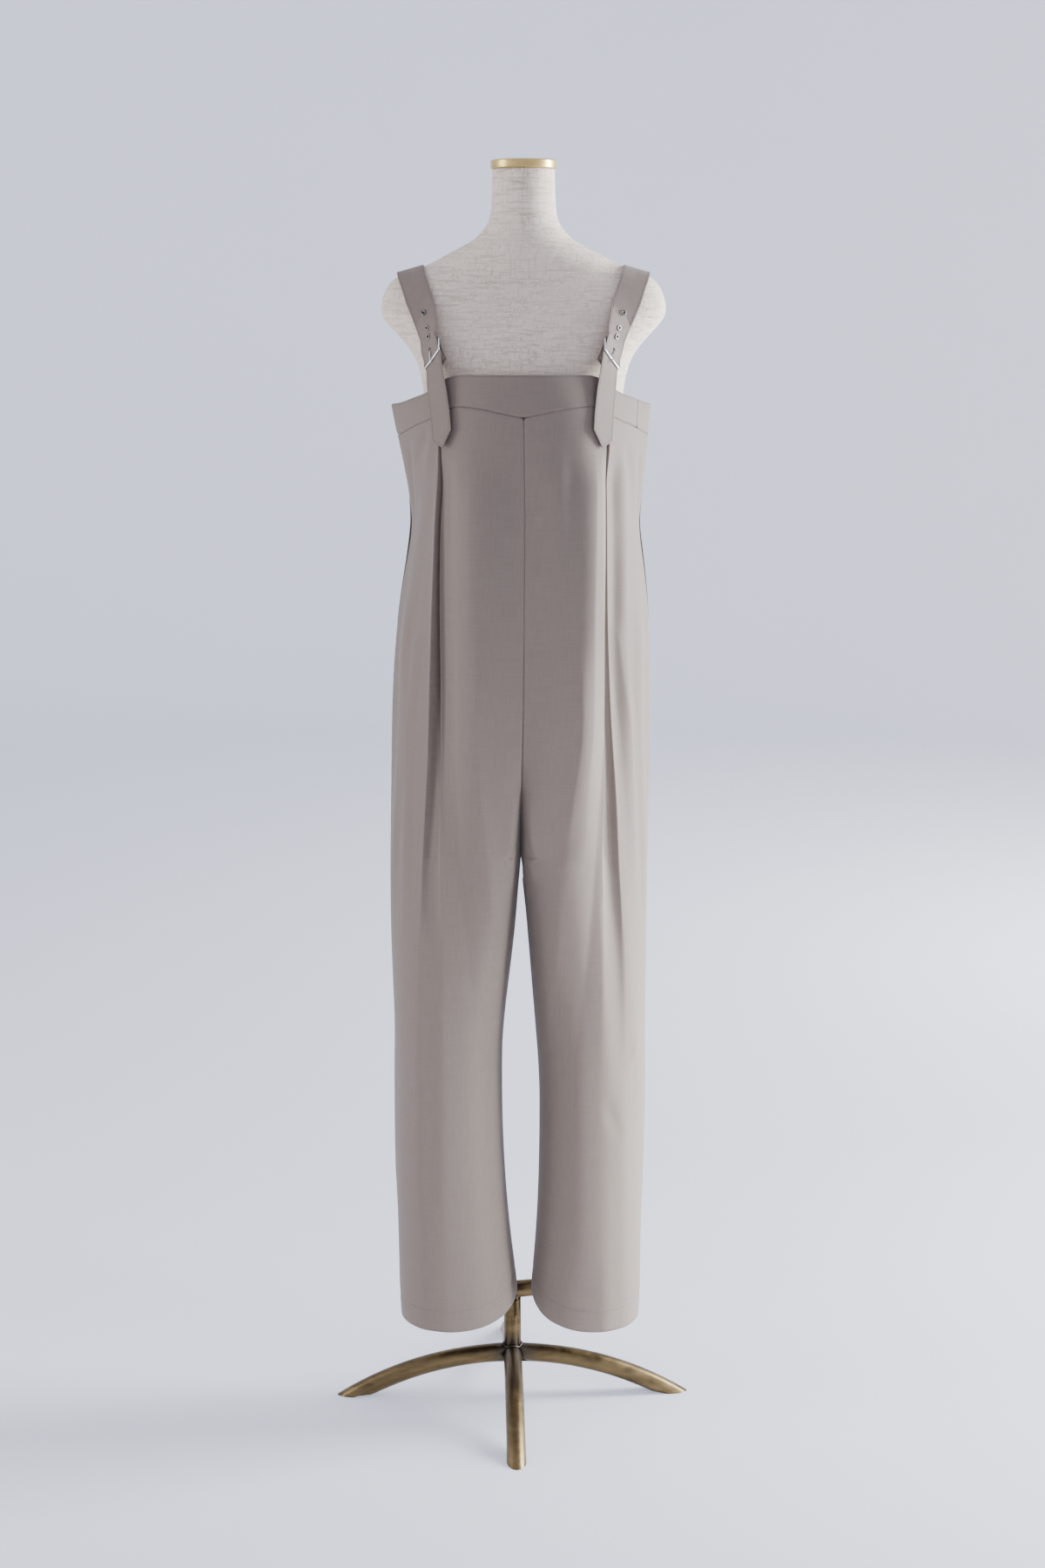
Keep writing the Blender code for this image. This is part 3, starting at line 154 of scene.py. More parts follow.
BACK_FOLDS = (
    # pressed creases of the back legs
    ("left", PRESSED, (120, 240), ridge(-40, 5.2, 50),
     ((-70, 1130), (-72, 1020), (-70, 900), (-64, 760), (-60, 600), (-60, 380))),
    ("right", PRESSED, (130, 260), ridge(-50, 5, 40),
     ((100, 1160), (103, 1040), (101, 900), (96, 760), (93, 620), (94, 430))),
    # the seat's hang: soft diagonal troughs towards the fork
    ("left", SOFT, (60, 60), ridge(-22, -3.4, 18), ((-120, 1060), (-90, 980), (-52, 905), (-16, 860))),
    ("left", SOFT, (50, 50), ridge(-18, -2.4, 14), ((-104, 950), (-76, 880), (-46, 830), (-18, 800))),
    ("right", SOFT, (60, 70), ridge(-18, -3.6, 22), ((154, 1040), (124, 962), (86, 895), (48, 852))),
    ("right", SOFT, (40, 50), ridge(-13, -2.2, 17), ((132, 920), (106, 860), (78, 815), (52, 790))),
    # soft folds that fall from the band and the darts
    ("left", SOFT, (60, 200), ridge(-20, -3, 22), ((-64, 1330), (-67, 1180), (-80, 1020), (-96, 860))),
    ("right", SOFT, (70, 220), ridge(-22, -2.8, 20),
     ((96, 1325), (99, 1170), (114, 1000), (130, 830))),
    ("left", SOFT, (50, 120), ridge(-14, 2.4, 16),
     ((-124, 1300), (-130, 1180), (-140, 1040), (-144, 880))),
    ("right", SOFT, (50, 130), ridge(-16, 2.6, 14),
     ((156, 1280), (162, 1140), (168, 1000), (170, 840))),
    ("left", SOFT, (40, 150), ridge(-16, 1.8, 18), ((-28, 1330), (-26, 1220), (-22, 1090))),
    ("right", SOFT, (40, 140), ridge(-18, 1.8, 16), ((62, 1335), (60, 1210), (56, 1100))),
    # low on the legs
    ("left", SOFT, (70, 80), ridge(-18, -2.2, 20),
     ((-110, 620), (-104, 500), (-106, 400), (-112, 290))),
    ("right", SOFT, (70, 80), ridge(-20, -2.2, 18), ((136, 580), (130, 460), (131, 370), (137, 270))),
)
SIDE_FOLDS = (
    # creases that the band's ends pull out of the sides
    ("left", SOFT, (20, 30), ridge(-12, -2.2, 12),
     ((-32, 1345), (-24, 1300), (-18, 1262), (-12, 1236))),
    ("right", SOFT, (20, 30), ridge(-11, -1.8, 11),
     ((-30, 1335), (-22, 1290), (-16, 1250), (-8, 1225))),
    # long soft folds that hang down the outer sides
    ("left", SOFT, (80, 180), ridge(-20, 2.6, 20), ((-36, 1160), (-38, 1000), (-30, 840), (-26, 640))),
    ("left", SOFT, (80, 180), ridge(-18, -2.4, 20), ((18, 1130), (20, 980), (24, 800), (22, 600))),
    ("right", SOFT, (80, 200), ridge(-20, 2.4, 18), ((-38, 1150), (-36, 990), (-30, 820), (-24, 620))),
    ("right", SOFT, (80, 160), ridge(-20, -2.6, 18), ((16, 1150), (22, 980), (22, 810), (16, 640))),
    ("left", SOFT, (90, 90), ridge(-18, 2, 18), ((-6, 560), (-12, 420), (-10, 260))),
    ("right", SOFT, (90, 90), ridge(-18, 2, 18), ((-12, 540), (-6, 400), (-8, 240))),
)
# Where the side folds begin, out from the middle line, and how far they fade in
SIDE_FROM = 0.100
SIDE_FADE = 0.02

# Seams between panels: the groove's depth and half width, and how near two panels' points lie
SEAM_DEPTH = 0.0006
BAND_SEAM_DEPTH = 0.00048
SEAM_HALF_WIDTH = 0.0013
SEAM_REACH = 0.0012
SEAM_STEP = 0.002

# The hem's turn, the groove over its stitches, and where an edge counts as the hem
HEM_TURN = 0.030
HEM_GROOVE = 0.0009
HEM_GROOVE_WIDTH = 0.0022
HEM_BELOW = 0.20
HEM_LEAST = 0.10

# Stitches: their spacing and size, how far in from an edge, and the shortest edge that has them
STITCH_PITCH = 0.0032
STITCH_LENGTH = 0.0024
STITCH_WIDTH = 0.00060
STITCH_RISE = 0.00010
STITCH_REACH = 0.008
STRAP_STITCH_IN = 0.0022
STRAP_LEAST = 0.20
BAND_STITCH_IN = 0.0020
BAND_LEAST = 0.10

# Each row: how narrow a rim is, how sharp a fold stays, and from which angle a bend is a fold
CLOTH_CREASES = (0.0036, 0.45, 45)
FACING_CREASES = (0.0030, 0.45, 45)
TAB_CREASES = (0.0020, 1.0, 45)
PRONG_CREASES = (0.0, 0.5, 60)
HARD_CREASES = (0.0, 1.0, 60)
# How far the straps' and the neck cap's edges are rounded
STRAP_EDGE = 0.0004
CAP_EDGE = 0.0005

# The radius at which the weave is laid out, and how flat an eyelet's rolled rim is
GRAIN_RADIUS = 0.15
RIM_FLATNESS = 0.35

# Form: its seams' places and depth
FORM_MIDDLE = 0.0155
FORM_SEAM_DEPTH = 0.0006
FORM_SEAM_WIDTH = 0.0016
NECK_SEAM = 1.6015

# Stand: the hub's height, its tubes' radii, the turn of its legs, its weld bead, and the height of the dark
# ring of painted shade under the arm
HUB = 0.061
LEG_TUBE = 0.0135
POST_TUBE = 0.0123
STAND_TURN = 1.6
BEAD = 0.0014
BEAD_LUMPS = 17
ARM_GAP_SHADE_HEIGHT = 0.142

# Studio: its size and its lights, each with its place, what it faces, and its width and height
STUDIO_RADIUS = 6.0
STUDIO_CURVE = 2.0
STUDIO_HEIGHT = 7.0
LIGHTS = (
    ("right", (2.6, 0.50, 1.40), (0.05, 0.0, 0.95), (0.9, 2.2)),
    ("left", (-2.6, -0.45, 1.40), (-0.02, 0.0, 0.95), (1.0, 2.0)),
    ("low", (2.3, -1.3, 0.55), (0.10, 0.0, 0.36), (0.6, 0.6)),
    ("wall", (2.4, 2.0, 1.6), (1.7, 5.5, 0.4), (0.8, 1.6)),
)
LOW_SPREAD = math.radians(34)


def colour_setting(name, description, default):
    return FloatVectorProperty(
        name=name, description="Colour " + description, subtype="COLOR", size=3, default=default)


def number_setting(name, description, default, unit="LENGTH"):
    return FloatProperty(name=name, description=description, unit=unit, default=default)


class SalopetteClothSettings(bpy.types.PropertyGroup):
    colour: colour_setting("Cloth", "of the suiting cloth", (0.180, 0.141, 0.112))
    light_colour: colour_setting("Cloth highlight", "of the raised yarns", (0.206, 0.162, 0.129))
    thread_colour: colour_setting("Thread", "of the sewing thread", (0.096, 0.073, 0.060))
    facing_colour: colour_setting(
        "Facing", "of the pocket facing and the zip tape", (0.092, 0.072, 0.061))
    yarn: number_setting("Yarn", "Width of one yarn of the weave", 0.0006)
    refinement: IntProperty(
        name="Refinement", description="Times that the cloth's faces are divided", default=3,
        min=1, max=4)


class SalopetteFormSettings(bpy.types.PropertyGroup):
    linen: colour_setting("Linen", "of the form's linen", (0.670, 0.560, 0.440))
    slub: colour_setting("Slub", "of the thick brown yarns", (0.300, 0.225, 0.155))
    cap: colour_setting("Neck cap", "of the brass neck cap", (0.700, 0.490, 0.170))


class SalopetteStandSettings(bpy.types.PropertyGroup):
    gold: colour_setting("Worn brass", "where the patina is worn", (0.235, 0.165, 0.074))
    brown: colour_setting("Patina", "of the aged brown patina", (0.074, 0.050, 0.026))
    weld: colour_setting("Weld", "of the burnt metal at the hub", (0.050, 0.050, 0.050))


class SalopetteHardwareSettings(bpy.types.PropertyGroup):
    silver: colour_setting("Nickel", "of the buckles", (0.800, 0.790, 0.770))
    eyelet_colour: colour_setting("Dull nickel", "of the eyelets", (0.150, 0.138, 0.128))
    eyelet_radius: number_setting("Eyelet", "Outer radius of an eyelet", 0.0037)
    eyelet_bore: number_setting("Eyelet bore", "Radius of an eyelet's hole", 0.0017)


class SalopetteStageSettings(bpy.types.PropertyGroup):
    backdrop: colour_setting("Backdrop", "of the studio's floor and walls", (0.50, 0.50, 0.52))
    glow: colour_setting(
        "Even light", "of the even light from the studio's walls", (0.372, 0.390, 0.490))
    right_power: number_setting("Right light", "Power of the large light at the right", 380.0, "POWER")
    left_power: number_setting("Left light", "Power of the light at the left", 42.0, "POWER")
    low_power: number_setting("Low light", "Power of the narrow light on the right leg", 5.0, "POWER")
    wall_power: number_setting("Wall light", "Power of the light on the wall at the right", 260.0, "POWER")
    right_tint: colour_setting("Right tint", "of all lights but the left", (0.86, 0.92, 1.0))
    lens: number_setting("Lens", "Focal length on a 36 mm sensor", 57.2, "CAMERA")
    camera_height: number_setting("Camera height", "Height of the camera", 1.48)
    camera_distance: number_setting("Camera distance", "Distance in front of the stand", 3.33)
    camera_side: number_setting("Camera side", "How far right of the stand's post", 0.0142)
    camera_tilt: FloatProperty(
        name="Camera tilt", description="How far the camera looks down", subtype="ANGLE",
        default=math.radians(10.25))


SETTINGS = {
    "salopette_cloth": SalopetteClothSettings,
    "salopette_form": SalopetteFormSettings,
    "salopette_stand": SalopetteStandSettings,
    "salopette_hardware": SalopetteHardwareSettings,
    "salopette_stage": SalopetteStageSettings,
}


def smooth_step(value):
    value = np.clip(value, 0.0, 1.0)
    return value * value * (3 - 2 * value)


def link(name, data):
    item = bpy.data.objects.new(name, data)
    bpy.context.scene.collection.objects.link(item)
    return item


def to_object(shape, name):
    mesh = bpy.data.meshes.new(name)
    shape.to_mesh(mesh)
    shape.free()
    return link(name, mesh)


def quad_copy(node):
    """A copy of a node's solid, merged and with its triangles joined in pairs."""
    shape = bmesh.new()
    shape.from_mesh(frame["nodes"][node].data)
    bmesh.ops.remove_doubles(shape, verts=shape.verts, dist=WELD)
    bmesh.ops.join_triangles(
        shape, faces=shape.faces, cmp_seam=False, cmp_sharp=False, cmp_uvs=False, cmp_vcols=False,
        cmp_materials=False, angle_face_threshold=math.pi, angle_shape_threshold=math.pi)
    shape.normal_update()
    return shape


def mark_creases(shape, rim_width, fold_crease, fold_angle):
    """Keep a wall's rims sharp and its tight folds almost sharp when it is divided."""
    layer = shape.edges.layers.float.get("crease_edge") or shape.edges.layers.float.new("crease_edge")
    limit = math.radians(fold_angle)
    bends = {edge: edge.calc_face_angle(0.0) for edge in shape.edges}
    for edge, bend in bends.items():
        if bend > limit:
            edge[layer] = fold_crease
    for face in shape.faces:
        if len(face.verts) != 4:
            continue
        edges = list(face.edges)
        for first, second in ((0, 1), (1, 0)):
            ends = (edges[first], edges[first + 2])
            sides = (edges[second], edges[(second + 2) % 4])
            narrow = all(edge.calc_length() < rim_width for edge in ends)
            if narrow and all(bends[edge] > limit for edge in sides):
                for edge in sides:
                    edge[layer] = 1.0


def divided(shape, name, levels):
    """Divide a cage with Subdivision Surface and give back the finished mesh's object."""
    cage = to_object(shape, name)
    modifier = cage.modifiers.new("fine", "SUBSURF")
    modifier.levels = levels
    modifier.render_levels = levels
    graph = bpy.context.evaluated_depsgraph_get()
    mesh = bpy.data.meshes.new_from_object(cage.evaluated_get(graph))
    cage_mesh = cage.data
    bpy.data.objects.remove(cage, do_unlink=True)
    bpy.data.meshes.remove(cage_mesh)
    mesh.name = name
    return link(name, mesh)


def points_of(mesh):
    places = np.zeros(len(mesh.vertices) * 3)
    mesh.vertices.foreach_get("co", places)
    return places.reshape(-1, 3)


def set_points(mesh, places):
    mesh.vertices.foreach_set("co", places.astype(np.float32).ravel())
    mesh.update()


def refined(node, name, levels, creases):
    """A node's solid, divided with its creases kept."""
    shape = quad_copy(node)
    if creases:
        mark_creases(shape, *creases)
    return divided(shape, name, levels)


def soften(item, width, segments, angle):
    """Round the edges of a piece."""
    edge = item.modifiers.new("soft_edge", "BEVEL")
    edge.width = width
    edge.segments = segments
    edge.limit_method = "ANGLE"
    edge.angle_limit = math.radians(angle)


def finish_piece(item, material, nodes=(), sharp=50):
    """Give a piece its material in a slot, its shading and body, and hide the nodes it stands for."""
    item.data.materials.clear()
    item.data.materials.append(material)
    item.data.shade_smooth()
    item.data.set_sharp_from_angle(angle=math.radians(sharp))
    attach(item, "root")
    if nodes:
        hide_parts(*nodes)


def unit(vectors):
    return vectors / np.maximum(np.linalg.norm(vectors, axis=1, keepdims=True), 1e-6)


def outward(places):
    """The level direction out of the body, or out of each leg below the fork."""
    x, y, z = places.T
    share = smooth_step((LEG_FROM - z) / (LEG_FROM - LEG_FULL))
    leg_x = np.where(x < BODY["x"], LEGS["left"], LEGS["right"])
    body = np.stack([(x - BODY["x"]) / BODY["half"] ** 2, (y - BODY["y"]) / BODY["deep"] ** 2], axis=1)
    leg = np.stack([(x - leg_x) / LEGS["half"] ** 2, (y - LEGS["y"]) / LEGS["deep"] ** 2], axis=1)
    plan = unit((1 - share)[:, None] * unit(body) + share[:, None] * unit(leg))
    return np.concatenate([plan, np.zeros((len(plan), 1))], axis=1)


def along_route(across, height, route):
    """Distance of each point to the right of a route, and how far along the route it lies."""
    best = np.full(len(across), 1e9)
    signed = np.zeros(len(across))
    place = np.zeros(len(across))
    walked = 0.0
    for (x0, z0), (x1, z1) in zip(route, route[1:]):
        length = math.hypot(x1 - x0, z1 - z0)
        run = np.array([x1 - x0, z1 - z0]) / length
        rel_x, rel_z = across - x0, height - z0
        part = np.clip(rel_x * run[0] + rel_z * run[1], 0.0, length)
        away = np.hypot(rel_x - part * run[0], rel_z - part * run[1])
        nearer = away < best
        best = np.where(nearer, away, best)
        side = np.sign(rel_z * run[0] - rel_x * run[1])
        signed = np.where(nearer, side * away, signed)
        place = np.where(nearer, walked + part, place)
        walked += length
    return signed, place, walked


def profile_height(distance, profile, pressed):
    """A fold's height across it: straight between its points if pressed, else rounded."""
    offsets = np.array([offset for offset, _ in profile])
    heights = np.array([height for _, height in profile])
    if pressed:
        result = np.interp(distance, offsets, heights)
    else:
        low = np.clip(np.searchsorted(offsets, distance) - 1, 0, len(offsets) - 2)
        share = smooth_step((distance - offsets[low]) / (offsets[low + 1] - offsets[low]))
        result = heights[low] + (heights[low + 1] - heights[low]) * share
    return np.where((distance < offsets[0]) | (distance > offsets[-1]), 0.0, result)


def fold_lift(places, node):
    """How far the listed folds lift each point of one panel."""
    lift = np.zeros(len(places))
    outer = smooth_step((np.abs(places[:, 0] - BODY["x"]) - SIDE_FROM) / SIDE_FADE)
    x, y, z = MILLIMETRES * places.T
    face, side = node.split("_")
    own_folds = FRONT_FOLDS if face == "front" else BACK_FOLDS
    for folds, across, share in ((own_folds, x, 1.0), (SIDE_FOLDS, y, outer)):
        for leg, pressed, fades, profile, route in folds:
            if leg == side:
                distance, place, length = along_route(across, z, route)
                ends = smooth_step(place / fades[0]) * smooth_step((length - place) / fades[1])
                lift += profile_height(distance, profile, pressed) * ends * share
    return lift / MILLIMETRES


def seam_tree(node, others):
    """Points along the edges of a node that meet any of the other nodes."""
    joined = bmesh.new()
    for other in others:
        joined.from_mesh(frame["nodes"][other].data)
    surface = BVHTree.FromBMesh(joined)
    joined.free()

    def meets(place):
        return surface.find_nearest(place)[3] < SEAM_REACH

    shape = quad_copy(node)
    met = {vertex for vertex in shape.verts if meets(vertex.co)}
    spots = []
    for edge in shape.edges:
        joint = edge.verts[0] in met and edge.verts[1] in met
        if joint and meets(edge.verts[0].co.lerp(edge.verts[1].co, 0.5)):
            steps = max(1, int(edge.calc_length() / SEAM_STEP))
            spots += [edge.verts[0].co.lerp(edge.verts[1].co, step / steps) for step in range(steps + 1)]
    shape.free()
    tree = KDTree(max(len(spots), 1))
    for spot in spots:
        tree.insert(spot, 0)
    tree.balance()
    return tree if spots else None


def seam_dip(places, tree, depth):
    """A narrow groove along a seam."""
    if tree is None:
        return np.zeros(len(places))
    away = np.array([tree.find(place)[2] for place in places])
    return -depth * np.exp(-(away / SEAM_HALF_WIDTH) ** 2)


def panel_neighbours(node):
    face, side = node.split("_")
    other_side = "right" if side == "left" else "left"
    other_face = "back" if face == "front" else "front"
    return [other_face + "_" + side, face + "_" + other_side, "band_" + face]


def round_leg(places, node):
    """The direction of each point round its leg, from the middle of its own panel."""
    face, side = node.split("_")
    facing = -1 if face == "front" else 1
    return np.arctan2(places[:, 0] - LEGS[side], facing * (places[:, 1] - LEGS["y"]))


def hem_heights(node):
    """The hem's edge as directions round the leg and heights, in order."""
    rim = [place for line in edge_path(node, 0.0, hem_outer_edge, HEM_LEAST) for place, _ in line]
    rim = np.array(rim)
    turn = round_leg(rim, node)
    order = np.argsort(turn)
    return turn[order], rim[order, 2]


def add_grain(item, coordinates):
    """Keep a weave's directions with the cloth: across the panel and up it, in metres."""
    layer = item.data.uv_layers.new(name="grain")
    loops = np.zeros(len(item.data.loops), dtype=np.int64)
    item.data.loops.foreach_get("vertex_index", loops)
    layer.data.foreach_set("uv", coordinates[loops].astype(np.float32).ravel())


def grey(level):
    return (level, level, level, 1)


class NodeBench:
    """Makes a procedural material, one node at a time."""

    def __init__(self, name):
        self.material = bpy.data.materials.new(name)
        self.material.use_nodes = True
        self.tree = self.material.node_tree
        self.shader = self.tree.nodes["Principled BSDF"]
        self.column = 0

    def node(self, kind, inputs=None, **values):
        made = self.tree.nodes.new(kind)
        self.column += 1
        made.location = (-1800 + 160 * self.column, 300 - 60 * (self.column % 7))
        for key, value in values.items():
            setattr(made, key, value)
        for key, value in (inputs or {}).items():
            self.put(made.inputs[key], value)
        return made

    def put(self, socket, value):
        if isinstance(value, bpy.types.NodeSocket):
            self.tree.links.new(value, socket)
        else:
            socket.default_value = value

    def mapped(self, coordinates, scale, turn):
        inputs = {"Vector": coordinates, "Scale": scale, "Rotation": turn}
        return self.node("ShaderNodeMapping", inputs).outputs["Vector"]

    def place(self, scale=(1, 1, 1), turn=(0, 0, 0)):
        return self.mapped(self.node("ShaderNodeTexCoord").outputs["Object"], scale, turn)

    def grain(self, scale, turn=(0, 0, 0)):
        return self.mapped(self.node("ShaderNodeUVMap", uv_map="grain").outputs["UV"], scale, turn)

    def noise(self, vector, scale, detail=3.0, roughness=0.5):
        inputs = {"Vector": vector, "Scale": scale, "Detail": detail, "Roughness": roughness}
        return self.node("ShaderNodeTexNoise", inputs).outputs["Fac"]

    def wave(self, vector, scale, distortion=0.0, detail=1.0, direction="X"):
        inputs = {"Vector": vector, "Scale": scale, "Distortion": distortion, "Detail": detail}
        return self.node("ShaderNodeTexWave", inputs, bands_direction=direction).outputs["Fac"]

    def maths(self, operation, first, second):
        return self.node("ShaderNodeMath", {0: first, 1: second}, operation=operation).outputs[0]

    def plus(self, first, second):
        return self.maths("ADD", first, second)

    def times(self, first, second):
        return self.maths("MULTIPLY", first, second)

    def ramp(self, value, low, high, low_colour=grey(0), high_colour=grey(1)):
        made = self.node("ShaderNodeValToRGB", {"Fac": value})
        made.color_ramp.elements[0].position = low
        made.color_ramp.elements[1].position = high
        made.color_ramp.elements[0].color = low_colour
        made.color_ramp.elements[1].color = high_colour
        return made.outputs["Color"]

    def shades(self, value, low, high, colour, share):
        return self.ramp(value, low, high, opaque(colour, share), opaque(colour))

    def mix(self, share, first, second):
        made = self.node("ShaderNodeMix", data_type="RGBA", blend_type="MIX")
        self.put(made.inputs[0], share)
        self.put(made.inputs[6], first)
        self.put(made.inputs[7], second)
        return made.outputs[2]

    def bump(self, height, distance, strength):
        inputs = {"Height": height, "Distance": distance, "Strength": strength}
        return self.node("ShaderNodeBump", inputs).outputs["Normal"]

    def finish(self, **sockets):
        for name, value in sockets.items():
            self.put(self.shader.inputs[name.replace("_", " ").title().replace("Ior", "IOR")], value)
        return self.material


def opaque(colour, share=1.0):
    """A colour, dimmed or lit by a share, with full cover."""
    return (*(min(1.0, share * value) for value in colour), 1.0)


def cloth_material(settings):
    """Smooth suiting: fine twill, faint uneven yarns and a soft nap."""
    bench = NodeBench("suiting_cloth")
    period = 1 / (settings.yarn * 2)
    twill = bench.wave(bench.grain((1, 1, 1), (0, 0, math.radians(32))), period / 6.3)
    warp = bench.noise(bench.grain((900, 35, 1)), 1.0, 2.0)
    weft = bench.noise(bench.grain((30, 1000, 1)), 1.0, 2.0)
    cloud = bench.noise(bench.grain((5, 3, 1)), 1.0, 2.0)
    yarns = bench.plus(bench.times(warp, 0.5), bench.times(weft, 0.5))
    dark = opaque(settings.colour)
    tone = bench.ramp(yarns, 0.36, 0.64, dark, opaque(settings.light_colour))
    clouded = bench.mix(bench.times(cloud, 0.16), tone, dark)
    height = bench.plus(bench.times(twill, 0.5), yarns)
    rough = bench.plus(bench.times(yarns, 0.12), 0.70)
    return bench.finish(
        Base_Color=clouded, Roughness=rough, Normal=bench.bump(height, 0.00012, 0.45),
        Sheen_Weight=0.12, Sheen_Roughness=0.45, Sheen_Tint=(0.92, 0.88, 0.86, 1), Specular_IOR_Level=0.22)


def thread_material(settings):
    """Sewing thread with its twist."""
    bench = NodeBench("sewing_thread")
    twist = bench.wave(bench.place((1, 1, 1), (0.6, 0.3, 0.8)), 700.0)
    tone = bench.shades(twist, 0.2, 0.8, settings.thread_colour, 0.7)
    return bench.finish(Base_Color=tone, Roughness=0.6, Normal=bench.bump(twist, 0.00006, 0.4),
                        Sheen_Weight=0.1)


def facing_material(settings):
    """Plain-woven pocket facing and zip tape."""
    bench = NodeBench("facing_cloth")
    ribs = bench.wave(bench.place(), 320.0, direction="Z")
    fleck = bench.noise(bench.place((500, 500, 500)), 1.0, 2.0)
    tone = bench.shades(fleck, 0.3, 0.7, settings.facing_colour, 0.75)
    return bench.finish(Base_Color=tone, Roughness=0.88, Normal=bench.bump(ribs, 0.0001, 0.4))


def linen_material(settings):
    """Slubby linen: uneven warp and weft yarns with thick brown slubs."""
    bench = NodeBench("form_linen")
    warp = bench.noise(bench.place((620, 620, 16)), 1.0, 3.0, 0.6)
    weft = bench.noise(bench.place((20, 20, 640)), 1.0, 3.0, 0.6)
    weave = bench.times(bench.plus(warp, weft), 0.5)
    slub_weft = bench.ramp(bench.noise(bench.place((30, 30, 330), (0, 0, 0.4)), 1.0, 3.0, 0.8), 0.50, 0.62)
    slub_warp = bench.ramp(bench.noise(bench.place((330, 330, 30), (0, 0, 0.2)), 1.0, 3.0, 0.8), 0.52, 0.64)
    patches = bench.ramp(bench.noise(bench.place((9, 9, 7)), 1.0, 3.0, 0.6), 0.35, 0.75)
    ground = bench.ramp(weave, 0.38, 0.60, opaque(settings.linen), opaque(settings.linen, 1.16))
    slubs = bench.maths("MAXIMUM", slub_weft, slub_warp)
    share = bench.times(slubs, bench.plus(bench.times(patches, 0.65), 0.25))
    tone = bench.mix(share, ground, opaque(settings.slub))
    height = bench.plus(weave, bench.times(slubs, 0.7))
    return bench.finish(Base_Color=tone, Roughness=0.92, Normal=bench.bump(height, 0.00045, 0.7),
                        Sheen_Weight=0.12, Specular_IOR_Level=0.18)


def nickel_material(settings):
    """Polished nickel with hairline wear."""
    bench = NodeBench("polished_nickel")
    lines = bench.noise(bench.place((300, 300, 2400)), 1.0, 2.0)
    rough = bench.ramp(lines, 0.3, 0.8, grey(0.10), grey(0.24))
    cloud = bench.noise(bench.place((120, 120, 120)), 1.0, 3.0)
    tone = bench.shades(cloud, 0.2, 0.8, settings.silver, 0.82)
    return bench.finish(Base_Color=tone, Roughness=rough, Metallic=1.0,
                        Normal=bench.bump(lines, 0.00003, 0.3))


def eyelet_material(settings):
    """Dull nickel of the eyelets, darker than the buckles."""
    bench = NodeBench("dull_nickel")
    cloud = bench.noise(bench.place((400, 400, 400)), 1.0, 3.0)
    tone = bench.shades(cloud, 0.3, 0.7, settings.eyelet_colour, 0.7)
    rough = bench.ramp(cloud, 0.2, 0.8, grey(0.24), grey(0.38))
    return bench.finish(Base_Color=tone, Roughness=rough, Metallic=1.0,
                        Normal=bench.bump(cloud, 0.00003, 0.3))


def stand_material(settings):
    """Aged brass: brown patina worn to gold along the tubes, burnt blue-grey at the welds, and a near-black
    ring of painted shade where the arm sits on the post.
    """
    bench = NodeBench("aged_brass")
    streaks = bench.noise(bench.place((16, 16, 60)), 1.0, 5.0, 0.62)
    mottle = bench.noise(bench.place((90, 90, 90)), 1.0, 4.0, 0.7)
    worn = bench.ramp(bench.plus(bench.times(streaks, 0.85), bench.times(mottle, 0.15)), 0.30, 0.78)
    tone = bench.mix(worn, opaque(settings.brown), opaque(settings.gold))
    spot = bench.node("ShaderNodeTexCoord").outputs["Object"]
    hub = bench.node("ShaderNodeVectorMath", {0: spot, 1: (0, 0, HUB)}, operation="DISTANCE")
    edge = bench.plus(hub.outputs["Value"], bench.times(mottle, 0.018))
    burnt = bench.ramp(edge, 0.022, 0.048, grey(1), grey(0))
    tone = bench.mix(bench.times(burnt, 0.85), tone, opaque(settings.weld))
    # Painted shade: a near-black ring at the post's top, for the shaded gap under the arm
    level = bench.node("ShaderNodeSeparateXYZ", {"Vector": spot}).outputs["Z"]
    joint = bench.node("ShaderNodeMath", {0: level, 1: ARM_GAP_SHADE_HEIGHT, 2: 0.0010}, operation="COMPARE")
    tone = bench.mix(bench.times(joint.outputs[0], 0.9), tone, grey(0.01))
    fine = bench.noise(bench.place((700, 700, 700)), 1.0, 2.0)
    rough = bench.ramp(mottle, 0.3, 0.75, grey(0.30), grey(0.50))
    return bench.finish(Base_Color=tone, Roughness=rough, Metallic=1.0,
                        Normal=bench.bump(bench.plus(fine, mottle), 0.00008, 0.35))


def cap_material(settings):
    """Brushed satin brass, spun round the neck's axis."""
    bench = NodeBench("spun_brass")
    rings = bench.wave(bench.place(), 320.0, 1.2, 2.0, "Z")
    cloud = bench.noise(bench.place((40, 40, 160)), 1.0, 4.0)
    tone = bench.shades(cloud, 0.3, 0.7, settings.cap, 0.72)
    rough = bench.ramp(rings, 0.0, 1.0, grey(0.26), grey(0.40))
    return bench.finish(Base_Color=tone, Roughness=rough, Metallic=1.0,
                        Normal=bench.bump(rings, 0.00004, 0.4))


def backdrop_material(settings):
    """Matt painted walls that give the studio its even light."""
    bench = NodeBench("painted_backdrop")
    mottle = bench.noise(bench.place((3, 3, 3)), 1.0, 3.0)
    tone = bench.shades(mottle, 0.3, 0.7, settings.backdrop, 0.985)
    return bench.finish(Base_Color=tone, Roughness=0.95, Specular_IOR_Level=0.0,
                        Emission_Color=opaque(settings.glow), Emission_Strength=1.0)


def kept(name, maker, *arguments):
    """A material by name, made once."""
    return bpy.data.materials.get(name) or maker(*arguments)


def cloth_grain(places):
    """Across the cloth and up it, in metres, at each point."""
    turn_x = places[:, 0] - BODY["x"]
    arc = np.arctan2(turn_x * BODY["deep"], -(places[:, 1] - BODY["y"]) * BODY["half"])
    return np.stack([arc * GRAIN_RADIUS, places[:, 2]], axis=1)


